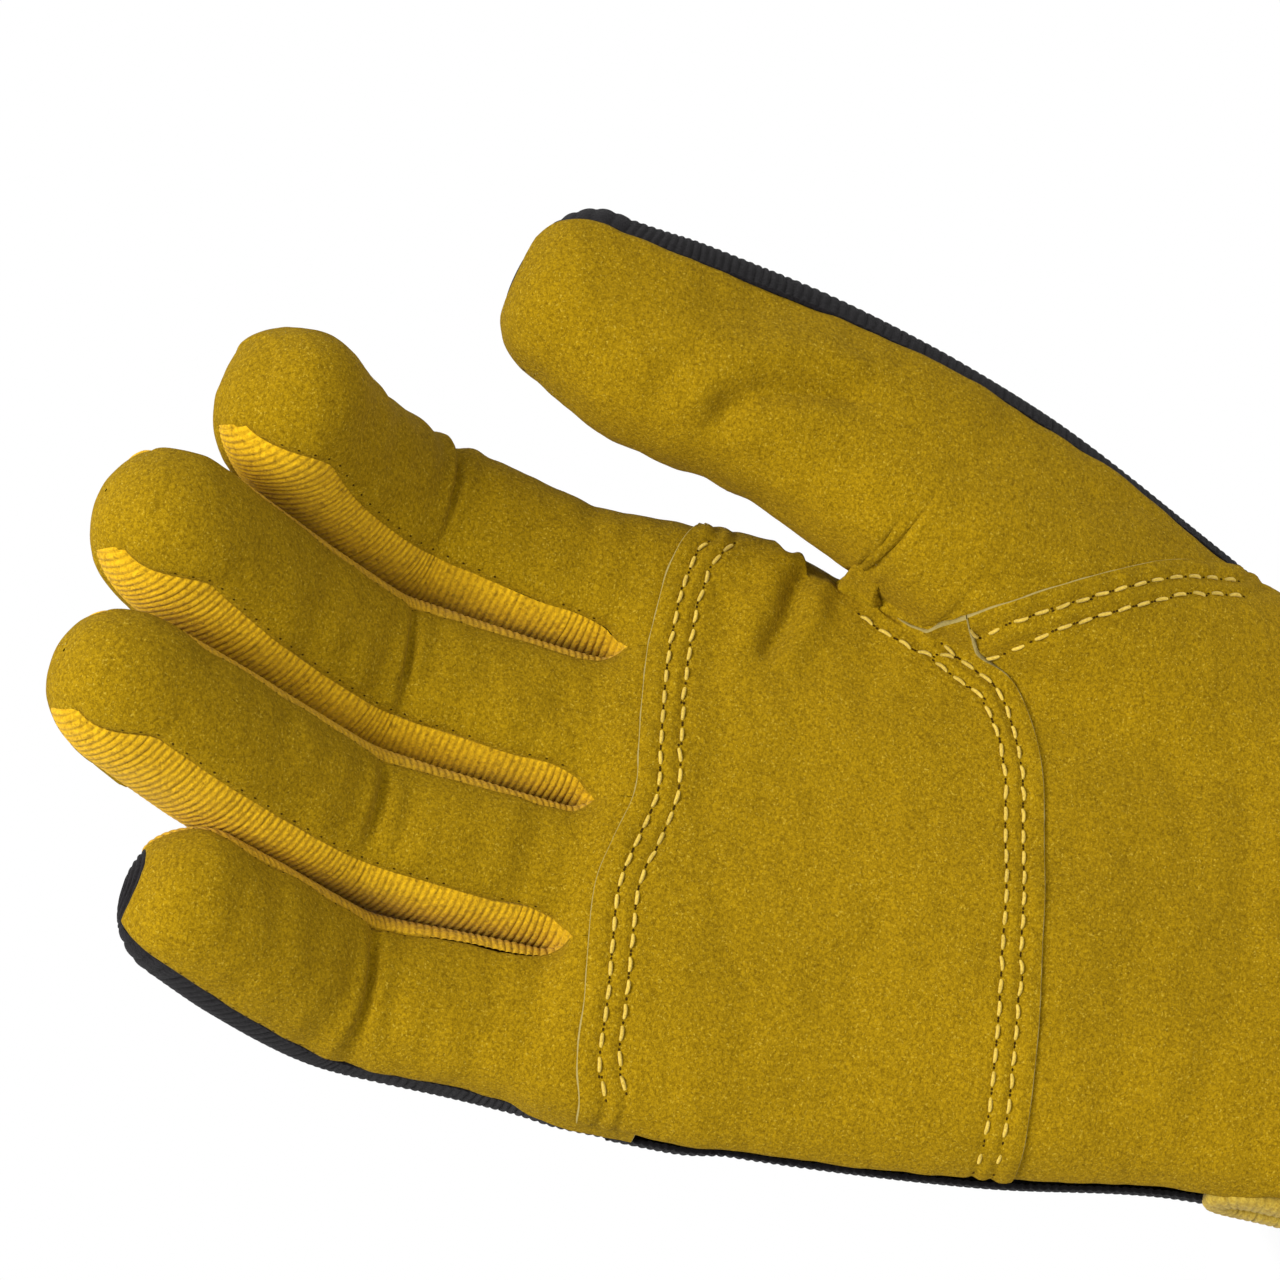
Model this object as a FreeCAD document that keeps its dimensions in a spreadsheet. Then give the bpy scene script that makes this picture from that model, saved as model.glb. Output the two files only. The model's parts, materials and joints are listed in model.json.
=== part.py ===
import FreeCAD, Part
import math
import os
from FreeCAD import Placement, Rotation, Vector
from Sketcher import Constraint

# A right-hand work glove for beekeeping, standing on its cuff with the palm facing -Y,
# the fingertips up (+Z) and the thumb towards +X. Lengths are millimetres, angles degrees.
# The origin is the centre of the cuff opening.

DIMENSIONS = {
    "leather": 1.6,            # wall of the palm, back and thumb
    "finger_wall": 1.4,        # wall of the finger stalls
    "lining": 1.0,             # knit lining of the cuff
    "elastic": 1.2,            # wrist elastic
    "loop_thickness": 1.0,
    "hook_thickness": 1.0,
    "strap_thickness": 1.8,
    "strap_gap": 0.3,          # air between the loops and the hooks
    "side_seam": 1.0,          # Y of the seams between palm side and back
    "finger_root": 170.0,      # Z where the finger stalls leave the palm
    "palm_seam": 163.0,        # Z of the seam under the fingers
    "heel_seam": 95.0,         # Z of the seam across the heel
    "binding_height": 6.0,
    "binding_thickness": 1.4,
    "slit_width": 5.0,
    "slit_length": 50.0,
    "slit_depth": 20.0,        # the slit's block stays this far from the middle
    "trim_margin": 4.0,        # the slit's binding past the slit's edges
    "lining_height": 56.0,
    "elastic_bottom": 38.0,
    "elastic_height": 8.0,
    "elastic_length": 52.0,
    "strap_bottom": 12.0,
    "strap_height": 24.0,
    "strap_root": -31.7,       # X of the line where the closure strap peels
    "strap_end": 16.0,
    "anchor_front": -8.0,      # Y of the strap's sewn end, on the palm side
    "patch_inset": 1.5,        # hook and loop patches stay inside the strap's edges
    "hook_start": -10.0,
    "loop_end": 30.0,
    "loop_margin": 4.0,        # the loops start this far before the hooks
    "crease": 7.0,             # half the length of the loose ring at a fold
    "crease_slope": 9.0,       # a ring is longer on the palm side
    "air": 0.3,                # gap between a ring and the body that turns
    "thumb_width": 17.3,       # half width
    "thumb_depth": 13.0,       # half depth
    "thumb_seam": -35.0,       # the outer seam stands forward of the thumb's edge
    "reach": 90.0,             # size of the shapes that only divide others
}

# Palm sections from the cuff up: centre X, half width, half depth, height.
PALM_SECTIONS = [
    (0.0, 48.0, 24.0, 0.0),
    (0.5, 44.5, 19.5, 34.0),
    (3.5, 49.5, 18.5, 60.0),
    (0.0, 52.5, 17.5, 95.0),
    (-2.0, 54.0, 16.0, 132.0),
    (-2.2, 55.2, 14.5, 170.0),
]

# Thumb base sections: centre, half width, half depth, lean towards +X, lean towards -Y.
THUMB_BASE_SECTIONS = [
    (Vector(32, -2, 36), 13.0, 10.0, 22, 6),
    (Vector(42, -5, 58), 20.5, 13.0, 24, 10),
    (Vector(54, -10, 86), 22.0, 15.0, 22, 12),
    (Vector(63.0, -17, 114), 24.0, 15.0, 14, 12),
    (Vector(67.8, -21.8, 134), 22.5, 14.0, 10, 9),
]
THUMB_FOLD = Vector(74, -25.2, 153)
THUMB_LEAN_OUT = 9
THUMB_LEAN_FORWARD = 6

# Each finger: centre X and half width at its root, the same at its middle fold, offset in Y,
# half depth, rest angle of the first part, its length from fold to fold, rest angle of the
# second part, its length, its own curve.
FINGERS = {
    "index": (39.4, 13.1, 42.3, 15.0, 0.0, 13.0, 8.0, 33.0, 38.0, 53.0, 36.0),
    "middle": (11.4, 13.1, 11.9, 14.0, 0.0, 13.0, 9.0, 35.0, 36.0, 63.0, 14.0),
    "ring": (-15.2, 11.9, -16.1, 12.7, 0.0, 11.8, 14.0, 35.0, 35.0, 61.0, 3.0),
    "little": (-42.6, 13.8, -43.9, 13.6, 2.0, 12.0, 8.0, 29.0, 35.0, 46.0, 4.0),
}
FINGER_KEYS = ["x", "width", "end_x", "end_width", "y", "depth", "base_angle", "base_length",
               "end_angle", "end_length", "curve"]

# Shape of a stall towards its tip: share of the length, share of the width and depth.
STALL_PROFILE = [(0.0, 1.0), (0.25, 1.0), (0.5, 0.98), (0.7, 0.93), (0.85, 0.81), (0.95, 0.58), (1.0, 0.25)]
THUMB_PROFILE = [(0.0, 1.0), (0.25, 1.02), (0.5, 1.03), (0.7, 0.99), (0.86, 0.84), (0.95, 0.6), (1.0, 0.25)]
THUMB_LENGTH = 53.0            # from the fold to the tip
SIDE_SHARE = 0.74              # the side strips start at this share of the half width
TIP_SHARE = 0.76               # the tip cap starts at this share of the stall
LOOSE = 1.03                   # how much wider a loose ring starts than the stall above it

doc = FreeCAD.newDocument("Glove")
sheet = doc.addObject("Spreadsheet::Sheet", "sheet")
nodes = []


def fill_sheet():
    cells = dict(DIMENSIONS)
    for number, section in enumerate(PALM_SECTIONS):
        for key, value in zip(["centre", "width", "depth", "level"], section):
            cells[f"palm_{key}_{'abcdef'[number]}"] = value
    for number, section in enumerate(THUMB_BASE_SECTIONS):
        cells[f"base_width_{'abcde'[number]}"] = section[1]
        cells[f"base_depth_{'abcde'[number]}"] = section[2]
    for finger, values in FINGERS.items():
        for key, value in zip(FINGER_KEYS, values):
            cells[f"{finger}_{key}"] = value
    for row, (alias, value) in enumerate(cells.items(), start=1):
        sheet.set(f"A{row}", alias)
        sheet.set(f"B{row}", str(value))
        sheet.setAlias(f"B{row}", alias)
    doc.recompute()


def bind(thing, **formulas):
    """Bind properties to formulas in which @name is a cell of the sheet."""
    for prop, formula in formulas.items():
        thing.setExpression(prop.replace("__", "."), str(formula).replace("@", "sheet."))
    return thing


def place(thing, x=0, y=0, z=0, turn=None):
    """Bind a thing's position, and its turn about X, which leans it towards -Y."""
    thing.Placement = Placement(Vector(), Rotation(Vector(1, 0, 0), 1))
    bind(thing, Placement__Base__x=x, Placement__Base__y=y, Placement__Base__z=z)
    bind(thing, Placement__Rotation__Angle=0 if turn is None else turn)
    return thing


def ellipse(name, width, depth):
    outline = doc.addObject("Part::Ellipse", name)
    outline.MajorRadius = DIMENSIONS["reach"]      # the larger radius has to be set first
    bind(outline, MinorRadius=depth, MajorRadius=width)
    return outline


def loft(name, sections):
    skin = doc.addObject("Part::Loft", name)
    skin.Sections = sections
    skin.Solid = True
    return skin


def box(name, x, y, z, length, width, height):
    block = doc.addObject("Part::Box", name)
    bind(block, Length=length, Width=width, Height=height)
    place(block, x, y, z)
    return block


def cut(name, base, *tools):
    """Take each tool away from the base in turn."""
    for number, tool in enumerate(tools):
        last = number == len(tools) - 1
        rest = doc.addObject("Part::Cut", name if last else f"{name}_step{number}")
        rest.Base = base
        rest.Tool = tool
        base = rest
    return base


def common(name, *shapes):
    overlap = doc.addObject("Part::MultiCommon", name)
    overlap.Shapes = list(shapes)
    return overlap


def node(thing, label):
    thing.Label = label
    nodes.append(thing)
    return thing


# ---------------------------------------------------------------- palm, back and cuff

def stadium(name, letter, offset):
    """One palm section: two flat sides joined by half circles."""
    sketch = doc.addObject("Sketcher::SketchObject", name)
    radius, half = 10.0, 20.0
    up, out = Vector(0, 0, 1), [(1, -90, 90), (-1, 90, 270)]
    for side, start, end in out:
        circle = Part.Circle(Vector(side * half, 0, 0), up, radius)
        ends = [circle.value(math.radians(angle)) for angle in (start, (start + end) / 2, end)]
        sketch.addGeometry(Part.Arc(*ends))
    sketch.addGeometry(Part.LineSegment(Vector(half, radius, 0), Vector(-half, radius, 0)))
    sketch.addGeometry(Part.LineSegment(Vector(-half, -radius, 0), Vector(half, -radius, 0)))
    sketch.addConstraint(Constraint("Tangent", 0, 2, 2, 1))
    sketch.addConstraint(Constraint("Tangent", 2, 2, 1, 1))
    sketch.addConstraint(Constraint("Tangent", 1, 2, 3, 1))
    sketch.addConstraint(Constraint("Tangent", 3, 2, 0, 1))
    sketch.addConstraint(Constraint("PointOnObject", 0, 3, -1))
    sketch.addConstraint(Constraint("PointOnObject", 1, 3, -1))
    sketch.addConstraint(Constraint("Equal", 0, 1))
    rounding = sketch.addConstraint(Constraint("Radius", 0, radius))
    sketch.renameConstraint(rounding, "rounding")
    right = sketch.addConstraint(Constraint("DistanceX", -1, 1, 0, 3, half))
    sketch.renameConstraint(right, "right")
    left = sketch.addConstraint(Constraint("DistanceX", 1, 3, -1, 1, half))
    sketch.renameConstraint(left, "left")
    bind(sketch, Constraints__rounding=f"@palm_depth_{letter} + ({offset})")
    bind(sketch, Constraints__right=f"@palm_width_{letter} - @palm_depth_{letter}")
    bind(sketch, Constraints__left=f"@palm_width_{letter} - @palm_depth_{letter}")
    place(sketch, f"@palm_centre_{letter}", 0, f"@palm_level_{letter}")
    return sketch


def palm_body(name, offset="0"):
    """The whole palm as a filled body, grown or shrunk by an offset."""
    return loft(name, [stadium(f"{name}_{letter}", letter, offset) for letter in "abcdef"])


def thumb_place(forward):
    """The frame of the thumb at its fold, moved along the thumb."""
    turn = Rotation(Vector(0, 1, 0), THUMB_LEAN_OUT) * Rotation(Vector(1, 0, 0), THUMB_LEAN_FORWARD)
    return Placement(THUMB_FOLD + turn.multVec(Vector(0, 0, forward)), turn)


def thumb_base(name, offset):
    """The filled mound from the heel of the hand to the thumb's fold."""
    sections = []
    for letter, section in zip("abcde", THUMB_BASE_SECTIONS):
        outline = ellipse(f"{name}_{letter}", f"@base_width_{letter} + ({offset})",
                          f"@base_depth_{letter} + ({offset})")
        lean = Rotation(Vector(0, 1, 0), section[3]) * Rotation(Vector(1, 0, 0), section[4])
        outline.Placement = Placement(section[0], lean)
        sections.append(outline)
    end = ellipse(f"{name}_end", f"@thumb_width * 1.03 + ({offset})", f"@thumb_depth * 1.04 + ({offset})")
    end.Placement = thumb_place(-DIMENSIONS["crease"])
    sections.append(end)
    return loft(name, sections)


def seam_block(name, lower=False):
    """A block on one side of the thumb's two seams, along the whole thumb."""
    block = box(name, 0, 0, 0, "2 * @reach", "@reach", "3 * @reach")
    shift = Placement(Vector(-DIMENSIONS["reach"], 0, -1.5 * DIMENSIONS["reach"]), Rotation())
    turn = Placement(Vector(), Rotation(Vector(0, 0, 1), DIMENSIONS["thumb_seam"] + (180 if lower else 0)))
    for prop in ["Placement.Base.x", "Placement.Base.y", "Placement.Base.z", "Placement.Rotation.Angle"]:
        block.setExpression(prop, None)
    block.Placement = thumb_place(0) * turn * shift
    return block


def make_hand():
    palm = palm_body("palm_outer")
    palm_room = palm_body("palm_inner", "-@leather")
    mound = thumb_base("mound_outer", "0")
    mound_room = thumb_base("mound_inner", "-@leather")
    wall = cut("palm_wall", palm, palm_room, mound_room)

    slit = box("slit", "-@reach", "@side_seam - @slit_width / 2", "-1", "@reach - @slit_depth",
               "@slit_width", "@slit_length + 1")
    front = box("front_half", "-@reach", "@side_seam - @reach", "-1", "2 * @reach", "@reach", "3 * @reach")
    back = box("back_half", "-@reach", "@side_seam", "-1", "2 * @reach", "@reach", "3 * @reach")
    whole = ["-@reach", "-@reach"]
    size = ["2 * @reach", "2 * @reach"]
    bands = {
        "front_panel": ("@palm_seam", "@finger_root - @palm_seam + 1"),
        "palm_patch": ("@heel_seam", "@palm_seam - @heel_seam"),
        "heel_panel": ("@binding_height", "@heel_seam - @binding_height"),
    }
    for name, (bottom, tall) in bands.items():
        band = box(f"{name}_band", *whole, bottom, *size, tall)
        node(common(name, cut(f"{name}_wall", wall, slit), front, band), name)
    above = box("above_binding", *whole, "@binding_height", *size, "3 * @reach")
    node(common("back_panel", cut("back_wall", wall, slit), back, above), "back_panel")

    hem_outer = palm_body("hem_outer", "@binding_thickness")
    hem = box("hem_band", *whole, "0", *size, "@binding_height")
    hem_wall = cut("hem_wall", hem_outer, palm_room, slit)
    node(common("cuff_binding", hem_wall, hem), "cuff_binding")

    trim = box("slit_trim", "-@reach", "@side_seam - @slit_width / 2 - @trim_margin", "@binding_height",
               "@reach - @slit_depth", "@slit_width + 2 * @trim_margin",
               "@slit_length + @trim_margin - @binding_height")
    trim_wall = cut("trim_wall", hem_outer, palm, slit)
    node(common("slit_binding", trim_wall, trim), "slit_binding")

    lining_room = palm_body("lining_inner", "-@leather - @lining")
    lining_band = box("lining_band", *whole, "@binding_height", *size, "@lining_height - @binding_height")
    lining_wall = cut("lining_wall", palm_room, lining_room, slit, mound_room)
    node(common("cuff_lining", lining_wall, lining_band), "cuff_lining")

    elastic_room = palm_body("elastic_inner", "-@leather - @lining - @elastic")
    elastic_band = box("elastic_band", "-@elastic_length / 2", "@side_seam", "@elastic_bottom",
                       "@elastic_length", "@reach", "@elastic_height")
    elastic_wall = cut("elastic_wall", lining_room, elastic_room)
    node(common("wrist_elastic", elastic_wall, elastic_band), "wrist_elastic")

    base_wall = cut("mound_wall", mound, mound_room, palm)
    node(cut("thumb_base_front", base_wall, seam_block("mound_back")), "thumb_base_front")
    node(cut("thumb_base_back", base_wall, seam_block("mound_front", True)), "thumb_base_back")


def make_strap():
    loops = palm_body("loops_outer", "@loop_thickness")
    hooks_under = palm_body("hooks_inner", "@loop_thickness + @strap_gap")
    hooks = palm_body("hooks_outer", "@loop_thickness + @strap_gap + @hook_thickness")
    strap = palm_body("strap_outer", "@loop_thickness + @strap_gap + @hook_thickness + @strap_thickness")
    palm = doc.getObject("palm_outer")

    low, tall = "@strap_bottom", "@strap_height"
    low_in, tall_in = "@strap_bottom + @patch_inset", "@strap_height - 2 * @patch_inset"
    side = box("anchor_zone", "-@reach", "-@reach", low,
               "@reach + @strap_root - @strap_gap", "2 * @reach", tall)
    anchor_wall = cut("anchor_wall", strap, doc.getObject("hem_outer"), loops)
    edge = box("anchor_edge", "-@reach", "@anchor_front", "0", "2 * @reach", "@reach", "@reach")
    node(common("strap_anchor", anchor_wall, side, edge), "strap_anchor")

    free = box("strap_zone", "@strap_root + @strap_gap", "@side_seam", low,
               "@strap_end - @strap_root - @strap_gap", "@reach", tall)
    node(common("closure_strap", cut("strap_wall", strap, hooks), free), "closure_strap")
    hook_zone = box("hook_zone", "@hook_start", "@side_seam", low_in,
                    "@strap_end - @hook_start - @patch_inset", "@reach", tall_in)
    node(common("hook_patch", cut("hook_wall", hooks, hooks_under), hook_zone), "hook_patch")
    loop_zone = box("loop_zone", "@hook_start - @loop_margin", "@side_seam", low_in,
                    "@loop_end - @hook_start + @loop_margin", "@reach", tall_in)
    node(common("loop_patch", cut("loop_wall", loops, palm), loop_zone), "loop_patch")


# ---------------------------------------------------------------- finger stalls

def finger_frame(thing, finger, end):
    """Put a shape made about a fold at its place on the finger."""
    along, lean = f"@{finger}_base_length", f"@{finger}_base_angle"
    root = "@finger_root + @crease"
    if end:
        place(thing, f"@{finger}_end_x", f"@{finger}_y - {along} * sin({lean})",
              f"{root} + {along} * cos({lean})", f"@{finger}_end_angle")
    else:
        place(thing, f"@{finger}_x", f"@{finger}_y", root, lean)
    return thing


def tube(name, finger, outer, inner):
    """A hollow tube through sections: which half width, its share (also of the half depth),
    then X, Y, Z and turn about X."""
    bodies = []
    for kind, less, sections in [("outer", "0", outer), ("inner", "@finger_wall", inner)]:
        outlines = []
        for number, (width, share, x, y, z, turn) in enumerate(sections):
            outline = ellipse(f"{name}_{kind}_{number}", f"@{finger}_{width} * {share} - {less}",
                              f"@{finger}_depth * {share} - {less}")
            outlines.append(place(outline, x, y, z, turn))
        bodies.append(loft(f"{name}_{kind}", outlines))
    return cut(f"{name}_wall", *bodies)


def curved(finger, along):
    """X, Y, Z and turn of the stall's middle line at a length past its first section."""
    length, curve = f"(@{finger}_end_length - @crease)", f"@{finger}_curve"
    radius = f"{length} / ({curve} * pi / 180)"
    turn = f"({curve} * ({along}) / {length})"
    return 0, f"-{radius} * (1 - cos({turn}))", f"@crease + {radius} * sin({turn})", turn


def straight_tube(finger):
    aside = f"@{finger}_end_x - @{finger}_x"
    top = f"@{finger}_base_length - @crease"
    outer = [("width", 1, 0, 0, "@crease", "-@crease_slope"),
             ("end_width", 1, aside, 0, top, "@crease_slope")]
    inner = [("width", 1, 0, 0, "@crease - 1", "-@crease_slope"),
             ("end_width", 1, aside, 0, f"{top} + 1", "@crease_slope")]
    return tube(f"{finger}_base", finger, outer, inner)


def tip_tube(finger):
    full = f"(@{finger}_end_length - @crease)"
    outer, inner = [], [("end_width", 1, 0, 0, "@crease - 1", 0)]
    for length, share in STALL_PROFILE:
        outer.append(("end_width", share, *curved(finger, f"{length} * {full}")))
        inner.append(("end_width", share, *curved(finger, f"{length} * ({full} - @finger_wall)")))
    return tube(f"{finger}_end", finger, outer, inner)


def crease_ring(finger, joint):
    """The loose ring of glove skin at a fold, in the frame of the part above it."""
    if joint == "knuckle":
        flat = f"-@{finger}_base_angle"
        outer = [("width", LOOSE, 0, 0, "@air - @crease", flat),
                 ("width", 1, 0, 0, "@crease - @air", "-@crease_slope")]
        inner = [("width", LOOSE, 0, 0, "-@crease - 1", flat),
                 ("width", 1, 0, 0, "@crease + 1", "-@crease_slope")]
    else:
        bend = f"(@{finger}_end_angle - @{finger}_base_angle)"
        back, down = f"-sin({bend})", f"-cos({bend})"
        slope = f"@crease_slope - {bend}"
        outer = [("end_width", 1, 0, f"{back} * (@crease - @air)", f"{down} * (@crease - @air)", slope),
                 ("end_width", 1, 0, 0, "@crease - @air", 0)]
        inner = [("end_width", 1, 0, f"{back} * (@crease + 1)", f"{down} * (@crease + 1)", slope),
                 ("end_width", 1, 0, 0, "@crease + 1", 0)]
    return tube(f"{finger}_{joint}", finger, outer, inner)


def zones(name, width, turn):
    """The blocks that divide a stall: both sides, the middle, the front and the back."""
    edge = f"{width} * {SIDE_SHARE}"
    deep = ["-@reach", "-@reach"]
    tall = ["2 * @reach", "2 * @reach"]
    made = {
        "radial": box(f"{name}_radial", edge, *deep, "@reach", *tall),
        "ulnar": box(f"{name}_ulnar", f"-@reach - {edge}", *deep, "@reach", *tall),
        "outer": box(f"{name}_outer", f"-{edge}", *deep, f"@reach + {edge}", *tall),
        "middle": box(f"{name}_middle", f"-{edge}", *deep, f"2 * {edge}", *tall),
        "front": box(f"{name}_front", "-@reach", 0, 0, "2 * @reach", "@reach", "2 * @reach"),
        "back": box(f"{name}_back", "-@reach", 0, 0, "2 * @reach", "@reach", "2 * @reach"),
    }
    lean = f"({turn}) / 2"
    low_y, low_z = f"@reach * sin({lean})", f"@crease - @reach * cos({lean})"
    place(made["back"], "-@reach", low_y, low_z, lean)
    place(made["front"], "-@reach", f"{low_y} - @reach * cos({lean})",
          f"{low_z} - @reach * sin({lean})", lean)
    return made


def panels(finger, part, wall, zone, end, tip=None):
    """Cut a stall's tube into its real pieces. Suede wraps round the index finger's outer
    side, and the stretch back wraps round the little finger's outer side."""
    body = cut(f"{finger}_{part}_body", wall, tip) if tip else wall
    name = f"{finger}_{part}"
    back_block = common(f"{name}_back_block", zone["middle"], zone["back"])
    front_block = common(f"{name}_front_block", zone["middle"], zone["front"])
    made = {}
    if finger == "index":
        wrap = cut(f"{name}_wrap_block", zone["outer"], back_block)
        made["front"] = common(f"{name}_front_piece", wall, wrap)
    else:
        made["front"] = common(f"{name}_front_piece", wall, front_block)
        made["fourchette_radial"] = common(f"{name}_radial_piece", body, zone["radial"])
    if tip:
        rest = [front_block, zone["radial"]] if finger == "index" else [front_block]
        made["tip_cap"] = common(f"{name}_cap", wall, cut(f"{name}_cap_block", tip, *rest))
    if finger == "little":
        made["back"] = cut(f"{name}_back_piece", wall, zone["radial"], front_block)
    else:
        made["back"] = common(f"{name}_back_piece", body, back_block)
        made["fourchette_ulnar"] = common(f"{name}_ulnar_piece", body, zone["ulnar"])
    for kind, piece in made.items():
        label = f"{finger}_tip_cap" if kind == "tip_cap" else f"{finger}_{part}_{kind}"
        node(finger_frame(piece, finger, end), label)


def make_finger(finger):
    straight = straight_tube(finger)
    panels(finger, "lower", straight, zones(f"{finger}_low", f"@{finger}_width", 0), False)
    curve = f"@{finger}_curve"
    _, tip_y, tip_z, tip_turn = curved(finger, f"{TIP_SHARE} * (@{finger}_end_length - @crease)")
    tip = box(f"{finger}_tip_zone", "-@reach", 0, 0, "2 * @reach", "2 * @reach", "@reach")
    place(tip, "-@reach", f"{tip_y} - @reach * cos({tip_turn})",
          f"{tip_z} - @reach * sin({tip_turn})", tip_turn)
    end_zones = zones(f"{finger}_high", f"@{finger}_end_width", curve)
    panels(finger, "upper", tip_tube(finger), end_zones, True, tip if finger != "little" else None)
    node(finger_frame(crease_ring(finger, "knuckle"), finger, False), f"{finger}_base_crease")
    node(finger_frame(crease_ring(finger, "middle_joint"), finger, True), f"{finger}_mid_crease")


# ---------------------------------------------------------------- thumb

def thumb_tube(name, outer, inner):
    """A hollow tube through sections of share and length along the thumb from its fold."""
    bodies = []
    for kind, less, sections in [("outer", "0", outer), ("inner", "@leather", inner)]:
        outlines = []
        for number, (share, forward) in enumerate(sections):
            outline = ellipse(f"{name}_{kind}_{number}", f"@thumb_width * {share} - {less}",
                              f"@thumb_depth * {share} - {less}")
            outline.Placement = thumb_place(forward)
            outlines.append(outline)
        bodies.append(loft(f"{name}_{kind}", outlines))
    return cut(f"{name}_wall", *bodies)


def make_thumb():
    start, wall, air = DIMENSIONS["crease"], DIMENSIONS["leather"], DIMENSIONS["air"]
    full = THUMB_LENGTH - start
    outer = [(share, start + length * full) for length, share in THUMB_PROFILE]
    inner = [(share, start + length * (full - wall)) for length, share in THUMB_PROFILE]
    stall = thumb_tube("thumb", outer, [(1, start - 1)] + inner)
    node(cut("thumb_front_cut", stall, seam_block("thumb_back_side")), "thumb_front")
    node(cut("thumb_back_cut", stall, seam_block("thumb_front_side", True)), "thumb_back")
    ring = thumb_tube("thumb_fold", [(LOOSE, air - start), (1, start - air)],
                      [(LOOSE, -start - 1), (1, start + 1)])
    node(ring, "thumb_crease")


def check_and_write():
    doc.recompute()
    for thing in doc.Objects:
        if "Invalid" in thing.State or "Error" in thing.State:
            raise RuntimeError(f"{thing.Name} ({thing.Label}) failed: {thing.State}")
    os.makedirs("parts", exist_ok=True)
    for thing in nodes:
        shape = thing.Shape
        if shape.isNull() or not shape.isValid() or not shape.Solids:
            raise RuntimeError(f"{thing.Label} has no valid shape")
        shape.exportStep(f"parts/{thing.Label}.step")
        size = shape.BoundBox
        print(f"{thing.Label:32s} solids {len(shape.Solids)} volume {shape.Volume:9.1f}"
              f" x {size.XMin:7.1f} {size.XMax:7.1f} y {size.YMin:7.1f} {size.YMax:7.1f}"
              f" z {size.ZMin:7.1f} {size.ZMax:7.1f}")
    print(len(nodes), "nodes")


fill_sheet()
make_hand()
make_strap()
for finger_name in FINGERS:
    make_finger(finger_name)
make_thumb()
check_and_write()
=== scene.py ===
import json
import math
import bpy
import numpy as np
from mathutils import Matrix, Vector


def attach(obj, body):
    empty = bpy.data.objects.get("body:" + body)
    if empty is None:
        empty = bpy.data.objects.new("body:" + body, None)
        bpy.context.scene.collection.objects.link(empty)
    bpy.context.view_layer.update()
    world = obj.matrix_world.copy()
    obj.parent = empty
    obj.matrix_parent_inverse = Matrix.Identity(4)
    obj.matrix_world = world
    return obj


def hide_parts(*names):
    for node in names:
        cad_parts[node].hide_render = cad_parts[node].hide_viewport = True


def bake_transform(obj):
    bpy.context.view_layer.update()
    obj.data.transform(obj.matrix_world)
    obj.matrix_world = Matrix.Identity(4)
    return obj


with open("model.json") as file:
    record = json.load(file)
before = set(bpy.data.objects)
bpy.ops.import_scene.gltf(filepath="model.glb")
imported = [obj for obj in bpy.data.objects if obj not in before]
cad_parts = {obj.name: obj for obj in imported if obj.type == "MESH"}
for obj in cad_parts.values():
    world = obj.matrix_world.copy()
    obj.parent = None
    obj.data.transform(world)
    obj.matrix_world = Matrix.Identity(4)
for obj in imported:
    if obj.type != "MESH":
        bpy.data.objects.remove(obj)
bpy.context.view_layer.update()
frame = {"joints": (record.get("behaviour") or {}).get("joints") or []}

# Lengths are in millimetres and angles in degrees until a mesh is made. +Z is towards the
# fingertips, -Y is the palm side and +X is the thumb side.
MM = 0.001
TURN = 2 * math.pi
X, Y, Z = np.eye(3)


# ------------------------------------------------------------ curves

def unit(v):
    return v / np.maximum(np.linalg.norm(v, axis=-1, keepdims=True), 1e-9)


def ease(x, low, high):
    t = np.clip((x - low) / (high - low), 0, 1)
    return t * t * (3 - 2 * t)


def hermite(a, b, slope_a, slope_b, u):
    """Smooth curve from a to b with the given slopes."""
    return ((1 + 2 * u) * (1 - u) ** 2 * a + u * (1 - u) ** 2 * slope_a
            + u * u * (3 - 2 * u) * b + u * u * (u - 1) * slope_b)


def measured(points):
    """How far along a polyline each of its points is."""
    return np.r_[0, np.cumsum(np.linalg.norm(np.diff(points, axis=0), axis=1))]


def sampled(points, t, at):
    """A polyline's columns at other distances along it."""
    return np.column_stack([np.interp(at, t, column) for column in points.T])


def through(points, count):
    """Evenly spaced points on a smooth curve through the given ones."""
    p = np.asarray(points, float)
    t = measured(p[:, :3])
    slope = np.gradient(p, t, axis=0)
    at = np.linspace(0, t[-1], count)
    i = np.clip(np.searchsorted(t, at, "right") - 1, 0, len(t) - 2)
    h = (t[i + 1] - t[i])[:, None]
    return hermite(p[i], p[i + 1], h * slope[i], h * slope[i + 1], (at - t[i])[:, None] / h)


def paced(points, pitch):
    """Points a given distance apart along a fine polyline, and its direction there."""
    t = measured(points)
    at = np.arange(pitch / 2, t[-1], pitch)
    return sampled(points, t, at), unit(sampled(points, t, at + 0.5) - sampled(points, t, at - 0.5))


def line_distance(p, line):
    """Signed distance in the plane from points to a polyline, and how far along it they are."""
    best = np.full(len(p), 1e9)
    side, along = np.zeros(len(p)), np.zeros(len(p))
    start = 0.0
    for a, b in zip(line[:-1], line[1:]):
        d = b - a
        size = math.hypot(*d)
        if size < 1e-9:
            continue
        t = np.clip(((p - a) @ d) / size ** 2, 0, 1)
        off = p - a - t[:, None] * d
        far = np.hypot(off[:, 0], off[:, 1])
        near = far < best
        best = np.where(near, far, best)
        side = np.where(near, np.sign(d[0] * off[:, 1] - d[1] * off[:, 0]), side)
        along = np.where(near, start + t * size, along)
        start += size
    return best * side, along


def soft_min(a, b, k):
    h = np.maximum(k - np.abs(a - b), 0) / k
    return np.minimum(a, b) - h * h * k / 4


def waves(p, size, seed, count=7):
    """Smooth random swells, about one size across, from -1 to 1."""
    r = np.random.default_rng(seed)
    way = unit(r.normal(size=(count, 3))) * (TURN / size) * r.uniform(0.6, 1.5, (count, 1))
    return np.sin(p @ way.T + r.uniform(0, TURN, count)).mean(1) * 1.8


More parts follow.
